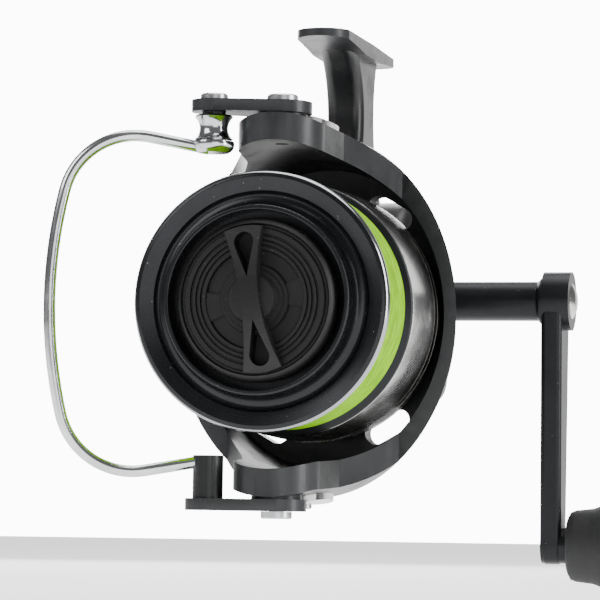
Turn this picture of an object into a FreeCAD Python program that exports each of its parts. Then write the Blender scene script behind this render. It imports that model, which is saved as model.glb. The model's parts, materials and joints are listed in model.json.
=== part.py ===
"""Fixed-spool spinning reel, size 5000, with a front drag.

The reel hangs from the rod by its foot: the origin is the middle of the foot's seat face and +Z is up
towards the rod. The spool faces -Y and the handle is on +X. All pieces are modelled about the spool
axis, which is the line x = 0, z = 0 here, and are moved down by AXIS_DROP when they are written.
Sizes are in millimetres. Fore-and-aft places are Y values, and forward is negative.
"""

import FreeCAD
import Part
import math
import os

V = FreeCAD.Vector

# ---------------------------------------------------------------- clearances
FIT = 0.03            # radial play of a running or push fit
FACE_GAP = 0.05       # end play between faces that are stacked
MOVE_GAP = 0.5        # air between pieces that pass each other
BORE_PLAY = 0.15      # radial play of the pinion round the main shaft

# ---------------------------------------------------------------- overall layout
FOOT_DROP = 24.5      # foot seat face down to the outside of the rotor arms
STROKE = 19.0         # fore-and-aft travel of the spool
ROTOR_REAR_Y = -9.0   # rear rim of the rotor bowl
REAR_RECESS = 3.5     # rear rim to the rotor's floor
HANDLE_OFFSET = 6.5   # handle axis above the spool axis

# ---------------------------------------------------------------- spool
LIP_R = 28.0          # largest radius of the front lip
LIP_EDGE = 1.4        # width of the polished bevel
LIP_BEVEL = 1.2       # the bevel, fore and aft
LIP_THICK = 2.4       # lip plane to the line side of the lip
COVE_WIDTH = 3.1      # cove round the raised ring
RIDGE_WALL = 1.1      # raised ring round the knob
RIDGE_RISE = 4.9      # ring's top ahead of the lip plane
DRUM_R = 17.0         # drum under the line
DRUM_WALL = 1.6
LINE_WIDTH = 19.6
LINE_DROP = 1.1       # full spool: line surface below the lip
FLANGE_RISE = 0.1     # rear flange over the lip
FLANGE_CONE = 1.6     # how far the rear flange leans back at its edge
FLANGE_THICK = 2.0
SKIRT_FLARE = 0.65
SKIRT_WALL = 1.5
SKIRT_LENGTH = 27.8   # behind the rear flange
CLIP_R = 2.2          # line clip's stem
CLIP_FROM_WEB = 9.0
CLIP_TURN = 250.0     # degrees round the skirt from the top
CAVITY_DEPTH = 9.0    # for the drag washers
SPOOL_BOSS_R = 8.0
BOSS_LENGTH = 9.0     # boss behind the floor of the drag cavity
RECESS_DEPTH = 1.0    # recess floor behind the lip plane

# ---------------------------------------------------------------- drag knob
KNOB_R = 17.55
KNOB_GAP = 1.65       # knob to the raised ring
KNOB_SLOPE = 1.35     # how far the flank leans in
KNOB_FLANK_Y = -2.0   # rear edge of the flank, from the lip plane
KNOB_FACE_Y = -5.9    # knob's outer face ring, from the lip plane
KNOB_FLOOR_Y = -5.1   # recessed floor inside the ring
BAR_LENGTH = 30.0
BAR_WAIST = 3.9
BAR_END = 8.4
BAR_TOP_Y = -10.2     # top of the bar at its waist, from the lip plane
BAR_BOW = 2.8         # the bar's ends lie this much lower
BAR_TURN = -9.0       # degrees that the bar is turned at rest
BAR_HOLE_REACH = 12.2 # from the axis to the middle of a hole's round end
BAR_HOLE_R = 2.15
BAR_HOLE_SINK = 1.2   # the holes go this much deeper than the recessed floor
KNOB_BOSS_R = 4.9
KNOB_NUT_R = 5.0      # across the flats, halved
NUT_THICK = 3.2

# ---------------------------------------------------------------- main shaft and its slider
SHAFT_R = 2.2
SLIDER_HALF = 3.5     # half the slider block's length along the shaft
PLATE_HALF = 2.6      # half the slotted plate's length along the shaft
SLIDER_LEFT = 3.0
PLATE_X = 2.6         # slotted plate
PLATE_THICK = 1.7
SLOT_HALF = 1.3       # half width of the slot for the crank pin
ROD_R = 1.25
ROD_DROP = 9.0        # guide rod below the spool axis

# ---------------------------------------------------------------- rotor
BOWL_WALL = 2.8
BOWL_PLAY = 1.25      # bowl's inside to the skirt
FLOOR_THICK = 3.0
NECK_PLAY = 3.2       # rotor neck to the inside of the skirt
NECK_WALL = 2.5
HUB_DISC = 3.0
ROTOR_NUT_R = 6.0
ROTOR_NUT_THICK = 3.6
ARM_AIR = 7.5         # spool lip to the inside of an arm
ARM_WALL = 6.0
ARM_BASE_HALF = 20.0  # half width where an arm leaves the rim
ARM_TIP_HALF = 9.5
RIM_FROM_FLOOR = 14.5 # bowl's front rim ahead of its floor
SHOULDER = 14.0       # length of the sloping shoulder behind each arm
BOWL_TAPER = 4.0      # the bowl's outside is this much smaller at its rear rim
CAVITY_TAPER = 0.9
REAR_RIM_WALL = 2.4
WINDOW_R = 2.6
WINDOW_FIRST = 24.0   # degrees from the middle of an arm
WINDOW_LAST = 36.0
WINDOW_REACH = 28.6   # from the axis to the middle of a window
COVER_THICK = 1.4

# ---------------------------------------------------------------- gears
PINION_TEETH = 8
GEAR_TEETH = 37
PINION_PITCH_R = 3.9
PINION_ROOT_R = 3.1
PINION_TIP_R = 4.6
TOOTH_TIP = 0.9       # tooth width at its tip
TOOTH_ROOT = 1.5
TOOTH_DEPTH = 1.5     # of the face gear
MESH_Y = 1.0          # middle of the mesh
MESH_WIDTH = 3.2
GEAR_DISH = 1.15      # the gear's web lies behind the tooth roots
GEAR_WEB = 2.0
DRIVE_SHAFT_R = 3.6
CRANK_TEETH = 38      # crank gear that moves the spool
DRIVER_TEETH = 17
CRANK_MODULE = 0.65
CRANK_ANGLE = -20.0   # direction from the handle axis to the crank gear, degrees
CRANK_THICK = 2.6
CRANK_AXLE_R = 2.0

# ---------------------------------------------------------------- frame and side cover
WALL = 2.2
GEAR_AIR = 0.8        # gears to the inside of the housing
FRAME_LEFT_X = -15.5
SPLIT_X = 9.0
COVER_RIGHT_X = 15.5
COLLAR_R = 15.0
COLLAR_LIP = 2.0      # collar ahead of the clutch
COLLAR_FLOOR = 0.8    # behind the front bearing
STEM_HALF = 4.4
FOOT_LENGTH = 60.0
FOOT_WIDTH = 13.0
FOOT_THICK = 3.4
FOOT_TOE = 1.8        # thickness at the foot's ends
GUARD_THICK = 1.6

# ---------------------------------------------------------------- bearings and clutch
DRIVE_BEARING_R = 6.5
DRIVE_BEARING_WIDTH = 3.0
PINION_NOSE_R = 3.5
FRONT_BEARING_R = 7.0
FRONT_BEARING_WIDTH = 4.0
PINION_TAIL_R = 2.9
REAR_BEARING_R = 5.0
REAR_BEARING_WIDTH = 2.0
REAR_BEARING_Y = 5.4
CLUTCH_R = 11.5
CLUTCH_LENGTH = 8.0
CLUTCH_SLEEVE_R = 6.0
ROLLER_R = 1.25
ROLLERS = 6

# ---------------------------------------------------------------- bail
BAIL_AHEAD = 20.0     # degrees that the closed bail points ahead of sideways
BAIL_REACH = 50.0     # pivot line to the far side of the wire
BAIL_WIRE_R = 1.3
WIRE_CORNER_R = 16.0
WIRE_RUN = 11.0       # straight run from the roller's cap to the corner
WIRE_FLARE = 10.0     # degrees that the straight run leans outwards
LEVER_THICK = 2.6
LEVER_GAP = 0.5
LEVER_R = 6.5         # round the pivot
ROLLER_U = 15.0       # line roller's middle, from the pivot line
LINE_ROLLER_R = 4.2
LINE_ROLLER_WIDTH = 5.6
CAP_THICK = 2.4
PIVOT_R = 1.6
PIVOT_BEHIND = 4.5    # pivot behind the middle of the line lay

# ---------------------------------------------------------------- handle
SHANK_R = 4.7
CRANK_ARM_AIR = 2.0   # between the turning rotor and the handle arm
CRANK_ARM_LENGTH = 58.0
CRANK_ARM_THICK = 5.0
CRANK_ARM_WIDTH = 10.0
GRIP_R = 13.0
GRIP_LENGTH = 32.0
SPINDLE_R = 2.2

# ---------------------------------------------------------------- places worked out from the sizes
LIP_FACE_R = LIP_R - LIP_EDGE
RIDGE_R = KNOB_R + KNOB_GAP + RIDGE_WALL
COVE_R = RIDGE_R + COVE_WIDTH
LINE_R = LIP_R - LINE_DROP
FLANGE_R = LIP_R + FLANGE_RISE
SKIRT_REAR_R = FLANGE_R + SKIRT_FLARE
KNOB_RIM_R = KNOB_R - KNOB_SLOPE
FLOOR_REAR_Y = ROTOR_REAR_Y - REAR_RECESS
FLOOR_FRONT_Y = FLOOR_REAR_Y - FLOOR_THICK
SKIRT_REAR_Y = FLOOR_FRONT_Y - STROKE / 2 - 1.7
LINE_REAR = LIP_THICK + LINE_WIDTH
WEB_REAR = LINE_REAR + FLANGE_CONE + FLANGE_THICK
LIP_Y = SKIRT_REAR_Y - WEB_REAR - SKIRT_LENGTH
CAVITY_END = RECESS_DEPTH + CAVITY_DEPTH
BOSS_END = CAVITY_END + BOSS_LENGTH
BOWL_IN_R = SKIRT_REAR_R + BOWL_PLAY
BOWL_OUT_R = BOWL_IN_R + BOWL_WALL
SKIRT_IN_R = FLANGE_R - SKIRT_WALL
NECK_R = SKIRT_IN_R - NECK_PLAY
NECK_IN_R = NECK_R - NECK_WALL
HUB_FRONT_Y = LIP_Y + WEB_REAR + STROKE / 2 + 1.5
HUB_REAR_Y = HUB_FRONT_Y + HUB_DISC
RIM_Y = FLOOR_FRONT_Y - RIM_FROM_FLOOR
ARM_INNER_Z = LIP_R + ARM_AIR
ARM_OUTER_Z = ARM_INNER_Z + ARM_WALL
AXIS_DROP = ARM_OUTER_Z + FOOT_DROP
PIVOT_Y = LIP_Y + LIP_THICK + LINE_WIDTH / 2 + PIVOT_BEHIND
GEAR_REACH = PINION_PITCH_R * GEAR_TEETH / PINION_TEETH
HANDLE_Y = MESH_Y + GEAR_REACH
GEAR_R = math.hypot(GEAR_REACH + MESH_WIDTH / 2, HANDLE_OFFSET)
GEAR_RING_R = math.hypot(GEAR_REACH - MESH_WIDTH / 2, HANDLE_OFFSET) - 0.3
TOOTH_TIP_X = PINION_ROOT_R + 0.25
TOOTH_ROOT_X = TOOTH_TIP_X + TOOTH_DEPTH
WEB_FRONT_X = TOOTH_ROOT_X + GEAR_DISH
GEAR_BACK_X = WEB_FRONT_X + GEAR_WEB
CRANK_R = STROKE / 2
CRANK_REACH = CRANK_MODULE * (CRANK_TEETH + DRIVER_TEETH) / 2 + 0.1
CRANK_Y = HANDLE_Y + CRANK_REACH * math.cos(math.radians(CRANK_ANGLE))
CRANK_Z = HANDLE_OFFSET + CRANK_REACH * math.sin(math.radians(CRANK_ANGLE))
PLATE_RIGHT = PLATE_X + PLATE_THICK
CRANK_X = PLATE_RIGHT + MOVE_GAP
LEVER_Z = ARM_OUTER_Z + LEVER_GAP
ROLLER_Z = ARM_OUTER_Z - 0.2 - LINE_ROLLER_WIDTH / 2
CAP_Z = ROLLER_Z - LINE_ROLLER_WIDTH / 2 - 0.2 - CAP_THICK
FRONT_IN_Y = HANDLE_Y - GEAR_R - GEAR_AIR
FRONT_WALL_Y = FRONT_IN_Y - WALL
CLUTCH_REAR_Y = FRONT_WALL_Y - COLLAR_FLOOR - FRONT_BEARING_WIDTH - FACE_GAP
COLLAR_FRONT_Y = CLUTCH_REAR_Y - CLUTCH_LENGTH - COLLAR_LIP
PLATE_REACH = CRANK_R + SLOT_HALF + 1.4
HOUSE_LOW_Z = min(HANDLE_OFFSET - GEAR_R, CRANK_Z - PLATE_REACH) - GEAR_AIR
HOUSE_REAR_Y = CRANK_Y + CRANK_R + SLIDER_HALF + 3.1
CRANK_ARM_X = ARM_OUTER_Z + COVER_THICK + CRANK_ARM_AIR
SHANK_END_X = CRANK_ARM_X + 1.5


# ---------------------------------------------------------------- drawing helpers
def edges_2d(path):
    """Edges in the XY plane round a closed path; ("arc", middle, end) is a round stretch."""
    edges, here = [], V(*path[0], 0)
    for step in list(path[1:]) + [path[0]]:
        if step[0] == "arc":
            middle, end = V(*step[1], 0), V(*step[2], 0)
            edges.append(Part.Arc(here, middle, end).toShape())
        else:
            end = V(*step, 0)
            if (end - here).Length < 1e-6:
                continue
            edges.append(Part.LineSegment(here, end).toShape())
        here = end
    return edges


def belt(circles):
    """Closed path round circles (u, v, r) given anticlockwise: outer tangents joined by arcs."""
    count, tangents = len(circles), []
    for i in range(count):
        (u0, v0, r0), (u1, v1, r1) = circles[i], circles[(i + 1) % count]
        gap = math.hypot(u1 - u0, v1 - v0)
        normal = math.atan2(v1 - v0, u1 - u0) - math.acos((r0 - r1) / gap)
        tangents.append(normal)
    path = []
    for i in range(count):
        u, v, r = circles[i]
        start = tangents[i - 1]
        end = start + (tangents[i] - start) % (2 * math.pi)
        middle = (start + end) / 2
        spot = [(u + r * math.cos(a), v + r * math.sin(a)) for a in (start, middle, end)]
        path.append(spot[0])
        if r > 1e-6 and end - start > 1e-6:
            path.append(("arc", spot[1], spot[2]))
    return path


def onto(shape, plane):
    """Turns a shape drawn in XY so that (u, v, w) is (x, y, z), (y, z, x) or (z, x, y)."""
    if plane == "side":
        shape.Placement = FreeCAD.Placement(V(), FreeCAD.Rotation(V(0, 1, 0), V(0, 0, 1), V(1, 0, 0)))
    elif plane == "front":
        shape.Placement = FreeCAD.Placement(V(), FreeCAD.Rotation(V(0, 0, 1), V(1, 0, 0), V(0, 1, 0)))
    return shape


def prism(path, start, end, plane="top"):
    """The closed path, extruded from start to end along the plane's normal."""
    face = Part.Face(Part.Wire(edges_2d(path)))
    face.translate(V(0, 0, start))
    solid = baked(face.extrude(V(0, 0, end - start)))
    return baked(onto(solid, plane))


def baked(shape):
    """A copy whose placement is built into its geometry."""
    matrix = shape.Placement.toMatrix()
    copy = shape.copy()
    copy.Placement = FreeCAD.Placement()
    copy.transformShape(matrix)
    return copy


def turned(profile, axis="y"):
    """Solid of revolution from a closed profile of (radius, place along the axis)."""
    face = Part.Face(Part.Wire(edges_2d(profile)))
    solid = face.revolve(V(0, 0, 0), V(0, 1, 0), 360)
    if axis == "x":
        solid.rotate(V(), V(0, 0, 1), -90)
    elif axis == "z":
        solid.rotate(V(), V(1, 0, 0), 90)
    return baked(solid)


def ring(inner, outer, start, end, axis="y"):
    """A washer or tube round the axis; inner 0 makes a plain rod."""
    return turned([(inner, start), (outer, start), (outer, end), (inner, end)], axis)


def moved(shape, x=0.0, y=0.0, z=0.0):
    shape.translate(V(x, y, z))
    return shape


def joined(shapes):
    result = shapes[0].fuse(shapes[1:]) if len(shapes) > 1 else shapes[0]
    return result.removeSplitter()


def hexagon(flat, start, end, axis="y"):
    """Hexagonal bar: flat is half the distance across the flats."""
    corner = flat / math.cos(math.pi / 6)
    points = [(corner * math.cos(k * math.pi / 3), corner * math.sin(k * math.pi / 3)) for k in range(6)]
    return prism(points, start, end, {"y": "front", "x": "side", "z": "top"}[axis])


def screw(head_r, head_h, shank_r, length, axis="y"):
    """Socket screw: head top at 0, shank towards positive."""
    body = turned([(0, 0), (head_r - 0.3, 0), (head_r, 0.3), (head_r, head_h), (shank_r, head_h),
                   (shank_r, length), (0, length)], axis)
    return body.cut(hexagon(head_r * 0.5, -0.1, head_h * 0.6, axis))


def turned_about(shape, degrees, axis=V(0, 1, 0), centre=V()):
    copy = shape.copy()
    copy.rotate(centre, axis, degrees)
    return copy


def around(shape, count, axis=V(0, 1, 0), centre=V(), first=0.0):
    return [turned_about(shape, first + 360.0 * k / count, axis, centre) for k in range(count)]


def box(x0, x1, y0, y1, z0, z1):
    return Part.makeBox(x1 - x0, y1 - y0, z1 - z0, V(x0, y0, z0))


def mirrored_x(shape):
    return shape.mirror(V(), V(1, 0, 0))


parts = {}


# ---------------------------------------------------------------- spool
def spool():
    def at(place):
        return LIP_Y + place

    ridge_in = RIDGE_R - RIDGE_WALL
    cavity_r = DRUM_R - DRUM_WALL + 0.6
    seat_r = cavity_r
    cove_low = (COVE_R - 1.0, at(0.5))
    parts["spool_lip"] = turned([
        (seat_r, at(RECESS_DEPTH)), (ridge_in, at(RECESS_DEPTH)), (ridge_in, at(-RIDGE_RISE + 0.25)),
        ("arc", (ridge_in + 0.1, at(-RIDGE_RISE + 0.08)), (ridge_in + 0.3, at(-RIDGE_RISE))),
        (RIDGE_R - 0.4, at(-RIDGE_RISE)),
        ("arc", (RIDGE_R - 0.12, at(-RIDGE_RISE + 0.12)), (RIDGE_R, at(-RIDGE_RISE + 0.4))),
        (RIDGE_R + 0.15, at(-2.2)),
        ("arc", (RIDGE_R + 0.75, at(-0.3)), cove_low),
        ("arc", (COVE_R - 0.2, at(0.3)), (COVE_R + 0.3, at(-0.35))),
        (LIP_FACE_R, at(-LIP_BEVEL)),
        ("arc", (LIP_R - 0.45, at(-0.75)), (LIP_R, at(0.1))),
        (LIP_R, at(0.6)),
        ("arc", (LIP_R - 0.3, at(1.25)), (LIP_R - 1.0, at(1.65))),
        (DRUM_R + 1.0, at(LIP_THICK)), (seat_r, at(LIP_THICK)),
    ])

    drum_in = DRUM_R - DRUM_WALL
    bearing_r = 5.0
    parts["spool_body"] = turned([
        (cavity_r, at(LIP_THICK)), (DRUM_R, at(LIP_THICK)), (DRUM_R, at(LINE_REAR)),
        (LINE_R - 2.0, at(LINE_REAR)), (FLANGE_R - 0.25, at(LINE_REAR + FLANGE_CONE)),
        (FLANGE_R, at(LINE_REAR + FLANGE_CONE + 0.3)), (FLANGE_R, at(WEB_REAR - 0.8)),
        (SKIRT_IN_R + 0.4, at(WEB_REAR - 0.8)), (SKIRT_IN_R + 0.4, at(WEB_REAR)),
        (drum_in, at(WEB_REAR)), (drum_in, at(CAVITY_END + 2.5)),
        (SPOOL_BOSS_R, at(CAVITY_END + 2.5)), (SPOOL_BOSS_R, at(BOSS_END)),
        (bearing_r, at(BOSS_END)), (bearing_r, at(CAVITY_END + 5.0)),
        (SHAFT_R + BORE_PLAY, at(CAVITY_END + 5.0)), (SHAFT_R + BORE_PLAY, at(CAVITY_END)),
        (cavity_r, at(CAVITY_END)),
    ])

    skirt_front = WEB_REAR - 0.8
    rear = WEB_REAR + SKIRT_LENGTH
    outline = [
        (SKIRT_IN_R + 0.4 + FIT, at(skirt_front + FIT)), (FLANGE_R - 0.35, at(skirt_front + FIT)),
        (FLANGE_R, at(skirt_front + 0.5)),
        ("arc", (SKIRT_REAR_R - 0.1, at((skirt_front + rear) / 2)), (SKIRT_REAR_R, at(rear - 1.2))),
        ("arc", (SKIRT_REAR_R - 0.15, at(rear - 0.3)), (SKIRT_REAR_R - 0.5, at(rear))),
        (SKIRT_IN_R + 0.7, at(rear)), (SKIRT_IN_R, at(rear - 2.0)), (SKIRT_IN_R, at(WEB_REAR + FIT)),
        (SKIRT_IN_R + 0.4 + FIT, at(WEB_REAR + FIT)),
    ]
    skirt = turned(outline)
    groove_depth = 0.3
    for from_rear in (4.4, 7.8):
        groove = ring(SKIRT_REAR_R - groove_depth - 0.05, SKIRT_REAR_R + 1, at(rear - from_rear - 0.45),
                      at(rear - from_rear + 0.45))
        skirt = skirt.cut(groove)
    parts["spool_skirt"] = skirt

    parts["line_pack"] = turned([
        (DRUM_R + FIT, at(LIP_THICK + FIT)), (LINE_R - 2.0, at(LIP_THICK + FIT)),
        (LINE_R, at(LIP_THICK + 0.4)),
        (LINE_R, at(LINE_REAR + 0.1)), (LINE_R - 2.1, at(LINE_REAR - FIT)),
        (DRUM_R + FIT, at(LINE_REAR - FIT)),
    ])

    parts["spool_bearing"] = ring(SHAFT_R + FIT, bearing_r - FIT, at(CAVITY_END + 5.0 + FACE_GAP),
                                  at(CAVITY_END + 8.6))

    # line clip: a small sprung button that stands out of the skirt
    clip = moved(ring(0, CLIP_R, 0, 1.9, "z"), 0, at(WEB_REAR + CLIP_FROM_WEB), 0)
    clip = joined([clip, moved(ring(0, CLIP_R + 1.0, 1.0, 1.9, "z"), 0, at(WEB_REAR + CLIP_FROM_WEB), 0)])
    clip_z = FLANGE_R + 0.5
    clip.translate(V(0, 0, clip_z - 1.0))
    clip = turned_about(clip, CLIP_TURN)
    pocket = moved(ring(0, CLIP_R + FIT, -3, 3, "z"), 0, at(WEB_REAR + CLIP_FROM_WEB), clip_z)
    pocket = turned_about(pocket, CLIP_TURN)
    parts["spool_skirt"] = parts["spool_skirt"].cut(pocket)
    parts["line_clip"] = clip.cut(ring(0, SKIRT_IN_R - 0.2, at(WEB_REAR), at(rear)))

    # drag stack, from the floor of the cavity towards the knob
    washers, place = [], CAVITY_END - FACE_GAP
    for k in range(5):
        thick = 0.9 if k % 2 else 0.7
        place -= thick
        reach = cavity_r - (1.4 if k % 2 else 0.25)
        washers.append(ring(SHAFT_R + FIT + 0.3, reach, at(place), at(place + thick)))
        place -= FACE_GAP
    parts["drag_washers"] = Part.makeCompound(washers[1::2])
    parts["drag_plates"] = Part.makeCompound(washers[0::2])
    clip_ring = ring(cavity_r - 1.6, cavity_r - FIT, at(place - 0.9), at(place - 0.1))
    opening = prism([(0, -2.2), (cavity_r * 1.5, -4.5), (cavity_r * 1.5, 4.5), (0, 2.2)],
                    at(place - 2), at(place + 1), "front")
    parts["drag_clip_ring"] = clip_ring.cut(opening)


# ---------------------------------------------------------------- drag knob
def teardrop(tip, centre, radius):
    """Path of a teardrop hole: a point at tip and a round end about centre, both on the bar's line."""
    reach = centre - tip
    half = math.asin(radius / abs(reach))
    side = radius * math.cos(half)
    back = centre - math.copysign(radius * math.sin(half), reach)
    return [(tip, 0), (back, side), ("arc", (centre + math.copysign(radius, reach), 0), (back, -side))]


def drag_knob():
    def at(place):
        return LIP_Y + place

    inner_r = KNOB_R - 2.6
    grooves = [(14.1, 13.5), (12.9, 12.4), (11.9, 11.4)]
    profile = [
        (0, at(KNOB_FLOOR_Y + 2.2)), (inner_r, at(KNOB_FLOOR_Y + 2.2)), (inner_r, at(KNOB_FLANK_Y)),
        (KNOB_R - 0.3, at(KNOB_FLANK_Y)), (KNOB_R, at(KNOB_FLANK_Y - 0.3)),
        ("arc", (KNOB_RIM_R + 0.85, at(KNOB_FACE_Y + 1.1)), (KNOB_RIM_R, at(KNOB_FACE_Y + 0.2))),
        (KNOB_RIM_R - 0.35, at(KNOB_FACE_Y + 0.75)), (KNOB_RIM_R - 0.8, at(KNOB_FACE_Y + 0.75)),
        (KNOB_RIM_R - 1.1, at(KNOB_FACE_Y)),
    ]
    for outer, inner in grooves:
        profile += [(outer, at(KNOB_FACE_Y)), (outer - 0.12, at(KNOB_FACE_Y + 0.5)),
                    (inner + 0.12, at(KNOB_FACE_Y + 0.5)), (inner, at(KNOB_FACE_Y))]
    profile += [(10.7, at(KNOB_FACE_Y)), (10.4, at(KNOB_FLOOR_Y)), (7.6, at(KNOB_FLOOR_Y)),
                (7.3, at(KNOB_FLOOR_Y - 1.0)), (6.5, at(KNOB_FLOOR_Y - 1.0)), (6.3, at(KNOB_FLOOR_Y - 1.7)),
                (5.5, at(KNOB_FLOOR_Y - 1.7)), (KNOB_BOSS_R, at(KNOB_FLOOR_Y - 3.6)),
                (0, at(KNOB_FLOOR_Y - 4.0))]
    knob = turned(profile)

    # bow-tie bar: its sides are arcs, its top is bowed, and each wing has a teardrop hole
    half, waist, end = BAR_LENGTH / 2, BAR_WAIST / 2, BAR_END / 2
    bar_path = [(half, -end), ("arc", (half + 0.7, 0), (half, end)), ("arc", (0, waist), (-half, end)),
                ("arc", (-half - 0.7, 0), (-half, -end)), ("arc", (0, -waist), (half, -end))]
    bar = prism(bar_path, at(BAR_TOP_Y - 1), at(KNOB_FLOOR_Y + 0.5), "front")
    bow_r = (half * half + BAR_BOW * BAR_BOW) / (2 * BAR_BOW)
    arch = turned([(0, -BAR_END), (bow_r, -BAR_END), (bow_r, BAR_END), (0, BAR_END)], "x")
    arch.translate(V(0, at(BAR_TOP_Y) + bow_r, 0))
    bar = bar.common(arch)
    holes = [prism(teardrop(4.6 * side, BAR_HOLE_REACH * side, BAR_HOLE_R), at(BAR_TOP_Y - 2),
                   at(KNOB_FLOOR_Y - 0.3), "front")
             for side in (1, -1)]
    wells = [prism(teardrop(4.6 * side, BAR_HOLE_REACH * side, BAR_HOLE_R), at(BAR_TOP_Y - 2),
                   at(KNOB_FLOOR_Y + BAR_HOLE_SINK), "front")
             for side in (1, -1)]
    wells = [well.cut(ring(0, 7.6, at(BAR_TOP_Y - 3), at(0))) for well in wells]
    bar = bar.cut(holes)

    # four tabs stand on the recessed floor, two of them under the ends of the bar
    tab_ring = ring(7.4, 10.6, at(KNOB_FLOOR_Y - 0.5), at(KNOB_FLOOR_Y + 0.3))
    tabs = [tab_ring.common(wedge(middle - 17.0, middle + 17.0, 12.0, at(KNOB_FLOOR_Y - 2),
                                  at(KNOB_FLOOR_Y + 2)))
            for middle in (0.0, 90.0, 180.0, 270.0)]
    knob = joined([knob, bar] + tabs).cut(wells)
    socket_y = at(KNOB_FLOOR_Y - 1.2)
    knob = knob.cut(hexagon(KNOB_NUT_R + FIT, socket_y, at(KNOB_FLOOR_Y + 3)))
    knob = turned_about(knob, BAR_TURN)
    parts["drag_knob"] = knob


def wedge(first, last, radius, start, end):
    """Pie slice about the spool axis; angles in degrees from +Z towards +X."""
    points = [(0, 0)]
    a0, a1 = math.radians(first), math.radians(last)
    mid = (a0 + a1) / 2
    points.append((radius * math.cos(a0), radius * math.sin(a0)))
    points.append(("arc", (radius * math.cos(mid), radius * math.sin(mid)),
                   (radius * math.cos(a1), radius * math.sin(a1))))
    return prism(points, start, end, "front")


# ---------------------------------------------------------------- main shaft group
def main_shaft():
    def at(place):
        return LIP_Y + place

    socket_y = KNOB_FLOOR_Y - 1.2
    nut_rear = socket_y + 0.1 + NUT_THICK
    nut = hexagon(KNOB_NUT_R, at(socket_y + 0.1), at(nut_rear)).cut(ring(0, SHAFT_R, at(socket_y),
                                                                         at(nut_rear + 1)))
    parts["drag_nut"] = turned_about(nut, BAR_TURN)
    plate_y = nut_rear + FACE_GAP + 0.4
    parts["pressure_plate"] = ring(SHAFT_R + FIT, KNOB_R - 3.2, at(plate_y), at(plate_y + 1.2))
    stack_front = CAVITY_END - FACE_GAP
    for thick in (0.7, 0.9, 0.7, 0.9, 0.7):
        stack_front -= thick + FACE_GAP
    parts["drag_seal"] = ring(KNOB_R - 6.0, KNOB_R - 3.2, at(plate_y + 1.2 + FIT), at(RECESS_DEPTH - FIT))
    spring_r = SHAFT_R + 1.3
    spring_front = plate_y + 1.2 + FIT
    spring_rear = stack_front - FIT
    coils = 3
    turns = [Part.makeTorus(spring_r, 0.45,
                            V(0, at(spring_front + (k + 0.5) * (spring_rear - spring_front) / coils),
                                              0), V(0, 1, 0)) for k in range(coils)]
    parts["drag_spring"] = Part.makeCompound(turns)

    rear_y = CRANK_Y + SLIDER_HALF + 1.2
    parts["main_shaft"] = ring(0, SHAFT_R, at(socket_y + 0.3), rear_y)
    ratchet = ring(SHAFT_R, SPOOL_BOSS_R - 1.2, at(BOSS_END + FACE_GAP), at(BOSS_END + 2.4))
    notch = box(-0.5, 0.5, at(BOSS_END - 1), at(BOSS_END + 3), SPOOL_BOSS_R - 2.0, SPOOL_BOSS_R)
    parts["click_ratchet"] = ratchet.cut(around(notch, 20))
    pawl = box(-1.0, 1.0, at(BOSS_END - 2.0), at(BOSS_END + 1.6), SPOOL_BOSS_R + 0.1, SPOOL_BOSS_R + 2.4)
    pawl = pawl.fuse(box(-1.0, 1.0, at(BOSS_END + 0.2), at(BOSS_END + 1.6), SPOOL_BOSS_R - 1.0,
                         SPOOL_BOSS_R + 0.2))
    parts["click_pawl"] = pawl.removeSplitter()

    # slider block, its slotted plate and the ear that runs on the guide rod
    front, rear = CRANK_Y - SLIDER_HALF, CRANK_Y + SLIDER_HALF
    block = box(-SLIDER_LEFT, PLATE_RIGHT, front, rear, -ROD_DROP - ROD_R - 1.3, SHAFT_R + 1.4)
    slot_reach = CRANK_R + SLOT_HALF
    plate = box(PLATE_X, PLATE_RIGHT, CRANK_Y - PLATE_HALF, CRANK_Y + PLATE_HALF, CRANK_Z - PLATE_REACH,
                CRANK_Z + PLATE_REACH)
    slot = box(PLATE_X - 0.2, PLATE_RIGHT + 1, CRANK_Y - SLOT_HALF, CRANK_Y + SLOT_HALF,
               CRANK_Z - slot_reach,
               CRANK_Z + slot_reach)
    slider = block.fuse(plate).removeSplitter().cut(slot)
    slider = slider.cut([ring(0, SHAFT_R, front - 1, rear + 1),
                         moved(ring(0, ROD_R + FIT, front - 1, rear + 1), 0, 0, -ROD_DROP)])
    parts["slider_block"] = slider
    parts["slider_screw"] = moved(turned_about(screw(2.6, 1.2, 1.2, 2.0), 180, V(1, 0, 0)), 0,
                                  rear_y + 1.2 + FIT, 0)
    parts["main_shaft"] = parts["main_shaft"].cut(ring(0, 1.2, rear_y - 2.5, rear_y + 1))


# ---------------------------------------------------------------- rotor group
def ellipse_wire(half_x, half_z, place):
    major, minor = (V(0, place, half_z), V(half_x, place, 0))
    if half_x > half_z:
        major, minor = minor, major
    return Part.Wire(Part.Ellipse(major, minor, V(0, place, 0)).toShape())


def ellipse_bar(half_x, half_z, start, end):
    """Bar along Y with an elliptic section."""
    return Part.Face(ellipse_wire(half_x, half_z, start)).extrude(V(0, end - start, 0))


def tapered_bar(half_x, half_z, start, middle, end, shrink):
    """Elliptic bar that keeps its size as far as middle and is smaller by shrink at its end."""
    wires = [ellipse_wire(half_x, half_z, middle), ellipse_wire(half_x - shrink, half_z - shrink, end)]
    return ellipse_bar(half_x, half_z, start, middle).fuse(Part.makeLoft(wires, True, True))


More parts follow.
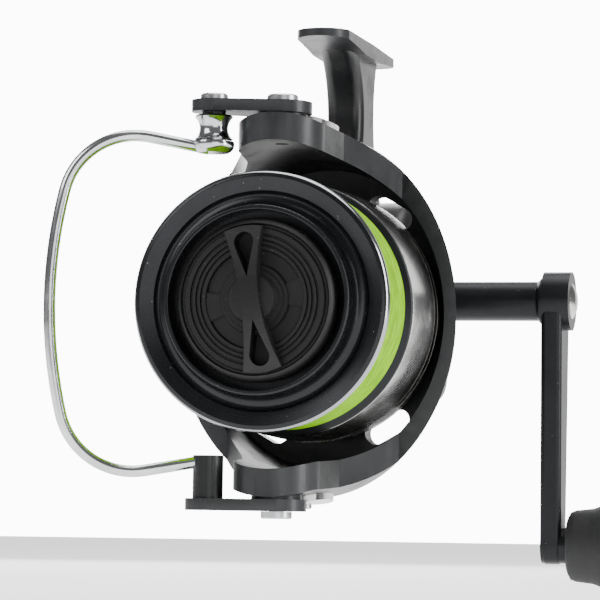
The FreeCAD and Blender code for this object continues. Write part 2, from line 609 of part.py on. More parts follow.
def rotor_outline(back=0.0):
    """Plan view of the rotor; its front edge is moved back by the given distance."""
    wide, rim, tip = BOWL_OUT_R + 5, RIM_Y + back, PIVOT_Y + back
    base, end, swing = ARM_BASE_HALF, ARM_TIP_HALF, tip - rim
    half = [(wide, ROTOR_REAR_Y + 1), (wide, rim), (base, rim),
            ("arc", (base - 0.45 * (base - end), rim + 0.26 * swing), (end + 1.5, rim + 0.62 * swing)),
            (end, tip), ("arc", (0, tip - end), (-end, tip))]
    left = [(-end - 1.5, rim + 0.62 * swing),
            ("arc", (-base + 0.45 * (base - end), rim + 0.26 * swing), (-base, rim)),
            (-wide, rim), (-wide, ROTOR_REAR_Y + 1)]
    return half + left


def rotor():
    inner = tapered_bar(BOWL_IN_R, ARM_INNER_Z, PIVOT_Y - 30, RIM_Y, FLOOR_FRONT_Y, CAVITY_TAPER)
    shell = tapered_bar(BOWL_OUT_R, ARM_OUTER_Z, PIVOT_Y - 30, RIM_Y, ROTOR_REAR_Y, BOWL_TAPER)
    rear_r = BOWL_OUT_R - BOWL_TAPER
    shell = shell.common(prism(rotor_outline(), -ARM_OUTER_Z - 5, ARM_OUTER_Z + 5))
    shell = shell.cut([inner, ring(0, rear_r - REAR_RIM_WALL, FLOOR_REAR_Y, ROTOR_REAR_Y + 1),
                       ring(0, NECK_IN_R, FLOOR_FRONT_Y - 1, FLOOR_REAR_Y + 1)])

    # the rear shoulder is rounded off by what is common with this outline
    far = ARM_OUTER_Z + 5
    shoulder = turned([(0, PIVOT_Y - 30), (far, PIVOT_Y - 30), (far, ROTOR_REAR_Y - SHOULDER - 4),
                       (ARM_INNER_Z + 1.0, FLOOR_FRONT_Y + 1.0), (rear_r + 3.0, ROTOR_REAR_Y - 1.5),
                       ("arc", (rear_r + 1.0, ROTOR_REAR_Y - 0.5), (rear_r - 0.9, ROTOR_REAR_Y)),
                       (0, ROTOR_REAR_Y)])
    shell = shell.common(shoulder)
    neck = turned([(NECK_IN_R, FLOOR_REAR_Y), (NECK_R + 2, FLOOR_REAR_Y), (NECK_R + 2, FLOOR_FRONT_Y),
                   (NECK_R, FLOOR_FRONT_Y), (NECK_R, HUB_FRONT_Y + 1), (NECK_R - 1, HUB_FRONT_Y),
                   (PINION_NOSE_R + FIT, HUB_FRONT_Y), (PINION_NOSE_R + FIT, HUB_REAR_Y),
                   (NECK_IN_R, HUB_REAR_Y)])
    rotor_solid = shell.fuse(neck)

    # see-through windows in the bowl's floor, beside the foot of each arm
    ends = [(WINDOW_REACH * math.cos(turn), WINDOW_REACH * math.sin(turn), WINDOW_R)
            for turn in (math.radians(WINDOW_FIRST), math.radians(WINDOW_LAST))]
    window = prism(belt(ends), FLOOR_FRONT_Y - 1, ROTOR_REAR_Y + 1, "front")
    upper = [window, mirrored_x(window)]
    rotor_solid = rotor_solid.cut(upper + [turned_about(one, 180) for one in upper])

    # raised seats for the bail levers, pockets for the spring and the screws' holes
    seat = moved(ring(0, LEVER_R - 1.0, ARM_INNER_Z + 1, LEVER_Z - FACE_GAP, "z"), 0, PIVOT_Y, 0)
    pocket = box(-4.5, 4.5, PIVOT_Y + LEVER_R + 3.0, PIVOT_Y + LEVER_R + 17.0, ARM_OUTER_Z - 4.2, far)
    bore = moved(ring(0, PIVOT_R, ARM_INNER_Z - 2, far, "z"), 0, PIVOT_Y, 0)
    small = moved(ring(0, 1.0, ARM_OUTER_Z - 4.0, far, "z"), 0, PIVOT_Y + LEVER_R + 19.0, 0)
    for flip in (0, 180):
        rotor_solid = rotor_solid.fuse(turned_about(seat, flip))
        rotor_solid = rotor_solid.cut([turned_about(shape, flip) for shape in (pocket, bore, small)])
    parts["rotor"] = rotor_solid.removeSplitter()

    # thin covers over the arms' pockets follow the arms' outer curve
    lid = ellipse_bar(BOWL_OUT_R + COVER_THICK, ARM_OUTER_Z + COVER_THICK, PIVOT_Y - 5, RIM_Y + 10)
    lid = lid.cut(ellipse_bar(BOWL_OUT_R + FIT, ARM_OUTER_Z + FIT, PIVOT_Y - 6, RIM_Y + 11))
    front, back = PIVOT_Y + LEVER_R + 1.2, PIVOT_Y + LEVER_R + 22.0
    lid = lid.common(prism([(7.0, front), ("arc", (8.0, (front + back) / 2), (6.0, back)),
                            ("arc", (0, back + 4.0), (-6.0, back)),
                            ("arc", (-8.0, (front + back) / 2), (-7.0, front)),
                            ("arc", (0, front - 1.0), (7.0, front))], 0, far))
    hole = moved(ring(0, 1.0, ARM_OUTER_Z - 4.0, far, "z"), 0, PIVOT_Y + LEVER_R + 19.0, 0)
    lid = lid.cut(hole)
    fixing = turned_about(screw(1.9, 1.0, 1.0, 4.6, "z"), 180, V(1, 0, 0))
    fixing = moved(fixing, 0, PIVOT_Y + LEVER_R + 19.0, ARM_OUTER_Z + COVER_THICK + 1.0)
    fixings = []
    for flip, name in ((0, "arm_cover_top"), (180, "arm_cover_bottom")):
        parts[name] = turned_about(lid, flip)
        fixings.append(turned_about(fixing, flip))

    # torsion spring that snaps the bail shut, in the top arm's pocket
    coil_y, coil_z = PIVOT_Y + LEVER_R + 10.0, ARM_OUTER_Z - 3.6
    coils = [Part.makeTorus(2.9, 0.4, V(0, coil_y, coil_z + k), V(0, 0, 1)) for k in range(3)]
    parts["bail_spring"] = Part.makeCompound(coils)

    pivots = []
    for flip in (0, 180):
        pivot = turned_about(screw(3.4, 1.6, PIVOT_R, LEVER_THICK + LEVER_GAP + ARM_WALL + 1.0, "z"),
                             180, V(1, 0, 0))
        pivot = moved(pivot, 0, PIVOT_Y, LEVER_Z + LEVER_THICK + 1.6 + FACE_GAP)
        pivots.append(turned_about(pivot, flip))
    parts["bail_pivot_screws"] = Part.makeCompound(pivots)

    nut_front = HUB_FRONT_Y - ROTOR_NUT_THICK
    parts["rotor_nut"] = hexagon(ROTOR_NUT_R, nut_front, HUB_FRONT_Y).cut(
        ring(0, PINION_NOSE_R, nut_front - 1, HUB_FRONT_Y + 1))
    lock_front = HUB_FRONT_Y - 0.9
    lock = prism([(ROTOR_NUT_R / math.cos(math.pi / 6) + 0.2, -3.0), (12.0, -3.0),
                  ("arc", (14.0, 0), (12.0, 3.0)),
                  (ROTOR_NUT_R / math.cos(math.pi / 6) + 0.2, 3.0)], lock_front, HUB_FRONT_Y, "front")
    lock_hole = moved(ring(0, 1.0, lock_front - 1, HUB_REAR_Y), 0, 0, 11.0)
    parts["nut_lock_plate"] = lock.cut(lock_hole)
    parts["rotor"] = parts["rotor"].cut(lock_hole)
    fixings.append(moved(screw(1.9, 1.1, 1.0, 3.6), 0, lock_front - 1.1, 11.0))
    parts["rotor_screws"] = Part.makeCompound(fixings)


def pinion():
    front, tail = HUB_FRONT_Y - ROTOR_NUT_THICK, REAR_BEARING_Y + REAR_BEARING_WIDTH
    teeth_front, teeth_rear = MESH_Y - MESH_WIDTH / 2 - 0.8, MESH_Y + MESH_WIDTH / 2 + 0.4
    core = turned([(SHAFT_R + BORE_PLAY, front), (PINION_NOSE_R, front), (PINION_NOSE_R, teeth_front),
                   (PINION_ROOT_R, teeth_front), (PINION_ROOT_R, teeth_rear + 0.4),
                   (PINION_TAIL_R, teeth_rear + 0.4),
                   (PINION_TAIL_R, tail), (SHAFT_R + BORE_PLAY, tail)])
    tooth = prism([(TOOTH_ROOT / 2, -PINION_ROOT_R + 0.3), (TOOTH_TIP / 2, -PINION_TIP_R),
                   (-TOOTH_TIP / 2, -PINION_TIP_R), (-TOOTH_ROOT / 2, -PINION_ROOT_R + 0.3)],
                  teeth_front, teeth_rear, "front")
    parts["pinion_gear"] = joined([core] + around(tooth, PINION_TEETH))


# ---------------------------------------------------------------- bail group
def bail():
    def on_pivot(shape):
        placed = turned_about(shape, 180.0 + BAIL_AHEAD, V(0, 0, 1))
        return moved(placed, 0, PIVOT_Y, 0)

    outline = belt([(0, 0, LEVER_R), (ROLLER_U, 0, LEVER_R - 1.6)])
    top = LEVER_Z + LEVER_THICK
    arm = prism(outline, LEVER_Z, top)
    spacer = moved(ring(0, 2.6, ROLLER_Z + LINE_ROLLER_WIDTH / 2 + FACE_GAP, LEVER_Z, "z"), ROLLER_U, 0, 0)
    arm = joined([arm, spacer]).cut([ring(0, PIVOT_R + FIT, LEVER_Z - 1, top + 1, "z"),
                                     moved(ring(0, PIVOT_R, 0, top + 1, "z"), ROLLER_U, 0, 0)])
    parts["roller_arm"] = on_pivot(arm)

    # wire: straight run, corner, long side, and the same again mirrored below
    flare = math.radians(WIRE_FLARE)
    wire_z = CAP_Z + CAP_THICK / 2
    start = V(ROLLER_U + 1.0, 0, wire_z)
    first = V(ROLLER_U + 3.0 + WIRE_RUN * math.cos(flare), 0, wire_z + WIRE_RUN * math.sin(flare))
    start = first - V(math.cos(flare), 0, math.sin(flare)) * (WIRE_RUN + 2.0)
    corner = first + V(math.sin(flare), 0, -math.cos(flare)) * WIRE_CORNER_R
    gap = BAIL_REACH - corner.x
    side_r = (gap * gap + corner.z ** 2 - WIRE_CORNER_R ** 2) / (2 * (gap - WIRE_CORNER_R))
    side = V(BAIL_REACH - side_r, 0, 0)
    outward = (corner - side).normalize()
    meet = corner + outward * WIRE_CORNER_R
    bisector = ((first - corner).normalize() + outward).normalize()
    upper = [Part.LineSegment(start, first).toShape(),
             Part.Arc(first, corner + bisector * WIRE_CORNER_R, meet).toShape()]
    below = [edge.mirror(V(), V(0, 0, 1)) for edge in upper]
    far_side = Part.Arc(meet, V(BAIL_REACH, 0, 0), V(meet.x, 0, -meet.z)).toShape()
    path = Part.Wire(Part.__sortEdges__(upper + [far_side] + below))
    section = Part.Wire(Part.Circle(start, V(math.cos(flare), 0, math.sin(flare)), BAIL_WIRE_R).toShape())
    wire = path.makePipeShell([section], True, False)
    cap = turned([(0, CAP_Z), (LINE_ROLLER_R - 0.8, CAP_Z),
                  ("arc", (LINE_ROLLER_R + 0.2, CAP_Z + CAP_THICK * 0.45),
                                                           (LINE_ROLLER_R + 0.3, CAP_Z + CAP_THICK)),
                  (0, CAP_Z + CAP_THICK)], "z")
    cap = moved(cap, ROLLER_U, 0, 0)
    bolt_hole = moved(ring(0, PIVOT_R, CAP_Z + 0.8, top, "z"), ROLLER_U, 0, 0)
    bail_wire = joined([wire, cap]).cut(bolt_hole)

    holder = prism(outline, -top, -LEVER_Z)
    post = moved(ring(0, 3.3, -LEVER_Z, -CAP_Z + 0.4, "z"), ROLLER_U, 0, 0)
    holder = joined([holder, post]).cut([ring(0, PIVOT_R + FIT, -top - 1, -LEVER_Z + 1, "z"), wire])
    parts["bail_holder"] = on_pivot(holder)
    parts["bail_wire"] = on_pivot(bail_wire)

    bolt = turned_about(screw(3.0, 1.4, PIVOT_R, top + 1.4 - CAP_Z - 0.9, "z"), 180, V(1, 0, 0))
    parts["roller_bolt"] = on_pivot(moved(bolt, ROLLER_U, 0, top + 1.4 + FIT))

    half = LINE_ROLLER_WIDTH / 2
    bearing_r = PIVOT_R + 1.1
    roller = turned([(bearing_r, -half), (LINE_ROLLER_R - 0.3, -half), (LINE_ROLLER_R, -half + 0.4),
                     ("arc", (LINE_ROLLER_R - 1.1, 0), (LINE_ROLLER_R, half - 0.4)),
                     (LINE_ROLLER_R - 0.3, half), (bearing_r, half)], "z")
    parts["line_roller"] = on_pivot(moved(roller, ROLLER_U, 0, ROLLER_Z))
    race = ring(PIVOT_R + FIT, bearing_r - FIT, -half + 0.3, half - 0.3, "z")
    parts["roller_bearing"] = on_pivot(moved(race, ROLLER_U, 0, ROLLER_Z))


# ---------------------------------------------------------------- drive group
def at_handle(shape):
    return moved(shape, 0, HANDLE_Y, HANDLE_OFFSET)


def spur(teeth, module, first, last, bore, tooth_angle):
    """Spur gear round the X axis; one tooth points to tooth_angle, in degrees from +Y towards +Z."""
    root, tip, step = module * (teeth / 2 - 1.2), module * (teeth / 2 + 0.85), 2 * math.pi / teeth
    points = []
    for k in range(teeth):
        middle = math.radians(tooth_angle) + k * step
        for radius, offset in ((root, -0.28), (tip, -0.12), (tip, 0.12), (root, 0.28)):
            angle = middle + offset * step
            points.append((radius * math.cos(angle), radius * math.sin(angle)))
    return prism(points, first, last, "side").cut(ring(0, bore, first - 1, last + 1, "x"))


def drive():
    # face gear: straight teeth that lie along the pinion where the two mesh
    plate = turned([(DRIVE_SHAFT_R, -GEAR_BACK_X), (GEAR_R, -GEAR_BACK_X), (GEAR_R, -TOOTH_ROOT_X),
                    (GEAR_RING_R, -TOOTH_ROOT_X), (GEAR_RING_R - 0.5, -WEB_FRONT_X), (8.0, -WEB_FRONT_X),
                    (DRIVE_SHAFT_R + 2.2, -WEB_FRONT_X + 1.2), (DRIVE_SHAFT_R, -WEB_FRONT_X + 1.2)], "x")
    plate = at_handle(plate)
    base, tip = TOOTH_ROOT / 2, TOOTH_TIP / 2
    tooth = prism([(base, -TOOTH_ROOT_X - 0.3), (base, -TOOTH_ROOT_X), (tip, -TOOTH_TIP_X),
                   (-tip, -TOOTH_TIP_X),
                   (-base, -TOOTH_ROOT_X), (-base, -TOOTH_ROOT_X - 0.3)],
                  MESH_Y - MESH_WIDTH / 2 + 0.1, MESH_Y + MESH_WIDTH / 2, "front")
    centre = V(0, HANDLE_Y, HANDLE_OFFSET)
    teeth = around(tooth, GEAR_TEETH, V(1, 0, 0), centre, 180.0 / GEAR_TEETH)
    window = at_handle(moved(ring(0, 2.6, -GEAR_BACK_X - 1, 0, "x"), 0, 11.4, 0))
    parts["drive_gear"] = joined([plate] + teeth).cut(around(window, 6, V(1, 0, 0), centre))

    left = FRAME_LEFT_X + 1.0
    right = COVER_RIGHT_X + 0.2
    shaft = ring(0, DRIVE_SHAFT_R, left, right, "x").cut(ring(0, 2.0, right - 12.0, right + 1, "x"))
    parts["drive_shaft"] = at_handle(shaft)
    parts["crank_driver"] = at_handle(spur(DRIVER_TEETH, CRANK_MODULE, CRANK_X, CRANK_X + CRANK_THICK + 0.3,
                                           DRIVE_SHAFT_R, CRANK_ANGLE))

    shank = turned([(0, right + FIT), (SHANK_R + 1.3, right + FIT), (SHANK_R + 1.3, right + 2.2),
                    (SHANK_R, right + 3.0), (SHANK_R, SHANK_END_X - 3.0),
                    (SHANK_R + 0.8, SHANK_END_X - 2.2),
                    (SHANK_R + 0.8, CRANK_ARM_X), (0, CRANK_ARM_X)], "x")
    stud = ring(0, 2.0, right - 11.5, right + 1, "x")
    parts["handle_shank"] = at_handle(joined([shank, stud]))

    # handle arm, a bowed and tapered bar that hangs down at rest
    bar = prism(belt([(0, 0, CRANK_ARM_WIDTH / 2 + 1.5),
                      (0, -CRANK_ARM_LENGTH, CRANK_ARM_WIDTH / 2 - 0.6)][::-1]),
                0, CRANK_ARM_THICK, "side")
    bar = bar.makeFillet(1.2, [e for e in bar.Edges if e.BoundBox.XLength < 0.01])
    hub = ring(0, CRANK_ARM_WIDTH / 2 + 2.0, -0.8, CRANK_ARM_THICK + 1.6, "x")
    seat = moved(ring(0, SPINDLE_R + 2.0, 0.1, CRANK_ARM_THICK + 1.0, "x"), 0, 0, -CRANK_ARM_LENGTH)
    arm = moved(joined([bar, hub, seat]), CRANK_ARM_X, 0, 0)
    arm = arm.cut([moved(ring(0, SPINDLE_R, 0, 90, "x"), 0, 0, -CRANK_ARM_LENGTH),
                   ring(0, 9.0, CRANK_ARM_X - 2, CRANK_ARM_X, "x"),
                   ring(0, 4.2, CRANK_ARM_X + CRANK_ARM_THICK, CRANK_ARM_X + CRANK_ARM_THICK + 5, "x")])
    parts["handle_arm"] = at_handle(arm)
    cap_x = CRANK_ARM_X + CRANK_ARM_THICK
    parts["arm_cap"] = at_handle(turned([(0, cap_x), (4.2, cap_x), (4.2, cap_x + 1.6),
                                         ("arc", (2.8, cap_x + 2.4), (0.8, cap_x + 2.8)),
                                         (0, cap_x + 2.8)], "x"))

    grip_x = cap_x + 1.4
    spindle = ring(0, SPINDLE_R, CRANK_ARM_X + 0.4, grip_x + GRIP_LENGTH - 4.0, "x")
    parts["knob_spindle"] = at_handle(moved(spindle, 0, 0, -CRANK_ARM_LENGTH))
    end = grip_x + GRIP_LENGTH
    grip = turned([(SPINDLE_R + 2.6, grip_x), (7.0, grip_x),
                   ("arc", (8.2, grip_x + 0.6), (8.4, grip_x + 2.0)),
                   (8.8, grip_x + 6.0), ("arc", (GRIP_R - 0.9, grip_x + 0.42 * GRIP_LENGTH),
                                         (GRIP_R, grip_x + 0.66 * GRIP_LENGTH)),
                   ("arc", (GRIP_R - 1.3, end - 4.0), (GRIP_R - 4.5, end - 0.8)), (6.5, end - 0.8),
                   (6.5, end - 3.0),
                   (SPINDLE_R + 2.6, end - 3.0)], "x")
    parts["grip"] = at_handle(moved(grip, 0, 0, -CRANK_ARM_LENGTH))
    bearings = [ring(SPINDLE_R + FIT, SPINDLE_R + 2.6 - FIT, x, x + 3.0, "x") for x in (grip_x + 0.4,
                                                                                        end - 7.4)]
    parts["grip_bearings"] = at_handle(moved(Part.makeCompound(bearings), 0, 0, -CRANK_ARM_LENGTH))
    plug = turned([(0, end - 3.0 + FIT), (6.5 - FIT, end - 3.0 + FIT), (6.5 - FIT, end - 0.9),
                   ("arc", (4.0, end - 0.2), (1.0, end)), (0, end)], "x")
    parts["grip_end_cap"] = at_handle(moved(plug, 0, 0, -CRANK_ARM_LENGTH))


def crank():
    """Gear that turns once per stroke; its pin stands over the slider's slot."""
    gear = spur(CRANK_TEETH, CRANK_MODULE, CRANK_X, CRANK_X + CRANK_THICK, CRANK_AXLE_R + FIT,
                CRANK_ANGLE + 180.0 + 180.0 / CRANK_TEETH)
    hub = ring(CRANK_AXLE_R + FIT, CRANK_AXLE_R + 2.0, CRANK_X, CRANK_X + CRANK_THICK + 1.4, "x")
    pin = moved(ring(0, SLOT_HALF - 0.1, CRANK_X - MOVE_GAP + 0.15, CRANK_X + 0.5, "x"), 0, 0, CRANK_R)
    parts["crank_gear"] = moved(joined([gear, hub, pin]), 0, CRANK_Y, CRANK_Z)
    parts["crank_axle"] = moved(ring(0, CRANK_AXLE_R, CRANK_X + 0.1, COVER_RIGHT_X - 0.6, "x"), 0,
                                CRANK_Y, CRANK_Z)


# ---------------------------------------------------------------- housing
def housing_path(grow):
    """Side view of the housing, as a belt round its contents."""
    return belt([(FRONT_IN_Y + 5, HOUSE_LOW_Z + 5, 5 + grow), (HOUSE_REAR_Y - 6, HOUSE_LOW_Z + 6, 6 + grow),
                 (HOUSE_REAR_Y - 6, CRANK_Z + PLATE_REACH - 4, 6 + grow),
                 (HANDLE_Y, HANDLE_OFFSET, GEAR_R + GEAR_AIR + grow),
                 (FRONT_IN_Y + 5, HANDLE_OFFSET + 9, 5 + grow)])


def rounded(shape, radius, x):
    """Rounds the outer edges that lie in the plane at x."""
    chosen = [e for e in shape.Edges if abs(e.BoundBox.XMin - x) < 0.01 and abs(e.BoundBox.XMax - x) < 0.01]
    return shape.makeFillet(radius, chosen)


def housing():
    inside_left, inside_right = FRAME_LEFT_X + WALL, COVER_RIGHT_X - WALL
    body = rounded(prism(housing_path(WALL), FRAME_LEFT_X, SPLIT_X, "side"), 4.0, FRAME_LEFT_X)
    body = body.cut(prism(housing_path(0), inside_left, SPLIT_X + 1, "side"))
    cover = rounded(prism(housing_path(WALL), SPLIT_X + FIT, COVER_RIGHT_X, "side"), 4.0, COVER_RIGHT_X)
    cover = cover.cut(prism(housing_path(0), SPLIT_X - 1, inside_right, "side"))

    collar = ring(CLUTCH_R + FIT, COLLAR_R, COLLAR_FRONT_Y, FRONT_WALL_Y)
    nose = turned([(FRONT_BEARING_R + FIT, CLUTCH_REAR_Y), (COLLAR_R - 0.5, CLUTCH_REAR_Y),
                   (COLLAR_R - 0.5, FRONT_WALL_Y),
                   (FRONT_BEARING_R + FIT, FRONT_WALL_Y)])
    floor = ring(PINION_TIP_R + 0.9, FRONT_BEARING_R + 1.0,
                 CLUTCH_REAR_Y + FRONT_BEARING_WIDTH + FACE_GAP, FRONT_WALL_Y)
    body = joined([body, collar, nose, floor])
    body = body.cut(ring(0, PINION_TIP_R + 0.9, FRONT_WALL_Y - 1, FRONT_IN_Y + 1).common(
        box(-30, SPLIT_X, -30, 30, -30, 30)))

    # rib and split ring that hold the pinion's rear bearing, clear of the face gear
    rib_x, rib_z = -TOOTH_TIP_X + 0.6, -PINION_TIP_R - 1.0
    bearing_end = REAR_BEARING_Y + REAR_BEARING_WIDTH + 1.2
    rib = box(rib_x, SPLIT_X, FRONT_IN_Y - 0.5, bearing_end, rib_z - 2.6, rib_z)
    holder = box(-0.5, SPLIT_X, REAR_BEARING_Y, bearing_end, rib_z - 2.6, REAR_BEARING_R + 2.0)
    holder = holder.cut([ring(0, REAR_BEARING_R + FIT, REAR_BEARING_Y - 1,
                              REAR_BEARING_Y + REAR_BEARING_WIDTH),
                         ring(0, PINION_TAIL_R + 0.6, REAR_BEARING_Y, bearing_end + 1)])
    rod_y = CRANK_Y - CRANK_R - SLIDER_HALF - 2.6
    stand = box(rib_x, SPLIT_X - 2, rod_y, rod_y + 2.0, HOUSE_LOW_Z - 0.5, -ROD_DROP + 2.4)
    rod_end = HOUSE_REAR_Y + 1.0
    parts["guide_rod"] = moved(ring(0, ROD_R, rod_y, rod_end, "y"), 0, 0, -ROD_DROP)
    tail = box(rib_x, SPLIT_X - 2, rod_end - 2.2, rod_end + 3.0, -ROD_DROP - 2.4, -ROD_DROP + 2.4)
    tail = tail.common(prism(housing_path(0.5), rib_x - 1, SPLIT_X, "side"))

    # screw bosses in the corners
    places = [(FRONT_IN_Y + 3.0, HOUSE_LOW_Z + 3.0), (FRONT_IN_Y + 2.0, HANDLE_OFFSET + 9.8),
              (HANDLE_Y + (GEAR_R + GEAR_AIR - 1.6) * math.cos(math.radians(50)),
               HANDLE_OFFSET + (GEAR_R + GEAR_AIR - 1.6) * math.sin(math.radians(50)))]
    bosses = [moved(ring(0, 2.4, 0.5, SPLIT_X, "x"), 0, y, z) for y, z in places]
    blocks = prism(housing_path(0.5), -6, SPLIT_X, "side")
    body = joined([body, rib, holder, stand, tail] + [boss.common(blocks) for boss in bosses])
    body = body.cut([moved(ring(0, 1.1, 2.5, SPLIT_X + 1, "x"), 0, y, z) for y, z in places])
    body = body.cut(parts["guide_rod"])
    fixings = []
    for y, z in places:
        pillar = moved(ring(0, 2.6, SPLIT_X + FIT, inside_right + 0.5, "x"), 0, y, z)
        cover = cover.fuse(pillar.common(prism(housing_path(0.5), SPLIT_X, COVER_RIGHT_X, "side")))
        cover = cover.cut([moved(ring(0, 1.1 + FIT, SPLIT_X - 1, COVER_RIGHT_X + 1, "x"), 0, y, z),
                           moved(ring(0, 2.1, COVER_RIGHT_X - 1.6, COVER_RIGHT_X + 1, "x"), 0, y, z)])
        one = turned_about(screw(2.0, 1.3, 1.1, COVER_RIGHT_X - 0.3 - 3.5, "x"), 180, V(0, 0, 1))
        fixings.append(moved(one, COVER_RIGHT_X - 0.3, y, z))
    parts["housing_screws"] = Part.makeCompound(fixings)

    # drive bearings' seats, and the crank gear's axle in the cover
    seat_out = DRIVE_BEARING_R + 2.0
    left_boss = at_handle(ring(0, seat_out, inside_left - 0.5, inside_left + DRIVE_BEARING_WIDTH, "x"))
    left_hole = at_handle(ring(0, DRIVE_BEARING_R + FIT, inside_left, inside_left + 9, "x"))
    body = body.fuse(left_boss).cut([left_hole, at_handle(ring(0, 4.4, FRAME_LEFT_X - 1, inside_left + 1,
                                                               "x"))])
    right_boss = at_handle(ring(0, seat_out, inside_right - DRIVE_BEARING_WIDTH, inside_right + 0.5, "x"))
    right_hole = at_handle(ring(0, DRIVE_BEARING_R + FIT, SPLIT_X - 2, inside_right, "x"))
    cover = cover.fuse([right_boss, moved(ring(0, CRANK_AXLE_R + 2, CRANK_X + CRANK_THICK + 1.7,
                                               inside_right + 0.5,
                                               "x"), 0, CRANK_Y, CRANK_Z)])
    cover = cover.cut([right_hole, at_handle(ring(0, DRIVE_SHAFT_R + 0.5, inside_right - 1,
                                                  COVER_RIGHT_X + 1, "x")),
                       parts["crank_axle"]])
    parts["drive_bearing_left"] = at_handle(ring(DRIVE_SHAFT_R + FIT, DRIVE_BEARING_R, inside_left,
                                                 inside_left + DRIVE_BEARING_WIDTH, "x"))
    parts["drive_bearing_right"] = at_handle(ring(DRIVE_SHAFT_R + FIT, DRIVE_BEARING_R,
                                                  inside_right - DRIVE_BEARING_WIDTH, inside_right, "x"))
    parts["dust_cap"] = at_handle(turned([(0, FRAME_LEFT_X - 2.4), (6.8, FRAME_LEFT_X - 2.4),
                                          ("arc", (8.2, FRAME_LEFT_X - 1.8), (8.8, FRAME_LEFT_X - FIT)),
                                          (4.3, FRAME_LEFT_X - FIT), (4.3, FRAME_LEFT_X + 0.7),
                                          (0, FRAME_LEFT_X + 0.7)], "x"))

    parts["frame"] = stem_and_foot(body)
    parts["side_cover"] = cover.removeSplitter()
    guard = prism(housing_path(WALL + GUARD_THICK), -11.0, 11.0, "side")
    guard = guard.cut(prism(housing_path(WALL + FACE_GAP), -12.0, 12.0, "side"))
    guard_front = CRANK_Y + 1.0
    guard = guard.common(box(-20, 20, guard_front, 99, -99, HANDLE_OFFSET + 4))
    parts["rear_guard"] = guard


def stem_and_foot(body):
    """Adds the stem and the rod foot to the housing."""
    seat, under = AXIS_DROP, AXIS_DROP - FOOT_THICK
    half = FOOT_LENGTH / 2
    behind = ROTOR_REAR_Y + 4.0
    root = HANDLE_OFFSET + 6.0
    stem = prism([(behind + 3.5, root), (HANDLE_Y + 8.0, root),
                  (HANDLE_Y + 7.0, HANDLE_OFFSET + GEAR_R + 1),
                  ("arc", (13.0, (under + HANDLE_OFFSET + GEAR_R) / 2 + 2.0), (16.0, under + 0.8)),
                  (-15.0, under + 0.8), ("arc", (behind + 1.2, under - 8.0), (behind + 1.4, ARM_OUTER_Z))],
                 -STEM_HALF, STEM_HALF, "side")
    stem = stem.makeFillet(2.6,
                           [e for e in stem.Edges if e.BoundBox.XLength < 0.01 and e.BoundBox.ZMax > root + 1
                                 and e.BoundBox.ZMin < under and e.BoundBox.ZLength > 3])
    stem = stem.cut(prism(housing_path(0.6), -STEM_HALF - 1, STEM_HALF + 1, "side"))
    side = prism([(-half, seat), (-half, seat - FOOT_TOE), ("arc", (-half + 12.0, seat - FOOT_TOE - 0.7),
                                                          (-half + 22.0, under)),
                  (half - 22.0, under), ("arc", (half - 12.0, seat - FOOT_TOE - 0.7),
                                         (half, seat - FOOT_TOE)),
                  (half, seat)], -FOOT_WIDTH, FOOT_WIDTH, "side")
    toe = FOOT_WIDTH / 2
    plan = prism([(toe - 0.4, -half + 5.0), (toe, 0), (toe - 0.4, half - 5.0),
                  ("arc", (0, half), (-toe + 0.4, half - 5.0)),
                  (-toe, 0), (-toe + 0.4, -half + 5.0), ("arc", (0, -half), (toe - 0.4, -half + 5.0))],
                 seat - 10, seat + 1)
    return joined([body, stem, side.common(plan)])


def clutch():
    """One-way roller clutch and the pinion's bearings in the front collar."""
    rear, front = CLUTCH_REAR_Y, CLUTCH_REAR_Y - CLUTCH_LENGTH
    ring_r = CLUTCH_SLEEVE_R + ROLLER_R + 0.02
    race_r = ring_r + ROLLER_R + 0.02
    parts["clutch_housing"] = ring(race_r, CLUTCH_R, front + FACE_GAP, rear - FACE_GAP)
    parts["clutch_sleeve"] = ring(PINION_NOSE_R, CLUTCH_SLEEVE_R, front + 0.2, rear - 0.2)
    roller = moved(ring(0, ROLLER_R, front + 1.0, rear - 1.0), 0, 0, ring_r)
    parts["clutch_rollers"] = Part.makeCompound(around(roller, ROLLERS))
    plate = ring(CLUTCH_SLEEVE_R + 0.6, COLLAR_R - 0.4, COLLAR_FRONT_Y - 0.9, COLLAR_FRONT_Y - FIT)
    screw_r = (CLUTCH_R + COLLAR_R) / 2
    holes = around(moved(ring(0, 0.8, COLLAR_FRONT_Y - 2, COLLAR_FRONT_Y + 4.0), 0, 0, screw_r), 3,
                   first=60.0)
    parts["clutch_plate"] = plate.cut(holes)
    parts["frame"] = parts["frame"].cut(holes)
    one = moved(screw(1.5, 0.8, 0.8, 4.6), 0, COLLAR_FRONT_Y - 0.9 - 0.8, screw_r)
    parts["housing_screws"] = Part.makeCompound(parts["housing_screws"].Solids + around(one, 3, first=60.0))
    parts["front_bearing"] = ring(PINION_NOSE_R + FIT, FRONT_BEARING_R, rear + FACE_GAP,
                                  rear + FRONT_BEARING_WIDTH)
    parts["rear_bearing"] = ring(PINION_TAIL_R + FIT, REAR_BEARING_R, REAR_BEARING_Y + FACE_GAP,
                                 REAR_BEARING_Y + REAR_BEARING_WIDTH)


def write_all():
    os.makedirs("parts", exist_ok=True)
    for name, shape in sorted(parts.items()):
        solids = shape.Solids
        placed = solids[0] if len(solids) == 1 else Part.makeCompound(solids)
        placed = placed.copy()
        placed.translate(V(0, 0, -AXIS_DROP))
        assert placed.isValid(), name
        placed.exportStep("parts/" + name + ".step")
        print(name, len(solids), round(placed.Volume, 1))


spool()
drag_knob()
main_shaft()
rotor()
pinion()
bail()
drive()
crank()
housing()
clutch()
write_all()
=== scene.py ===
import json
import math

import bmesh
import bpy
from mathutils import Matrix, Vector


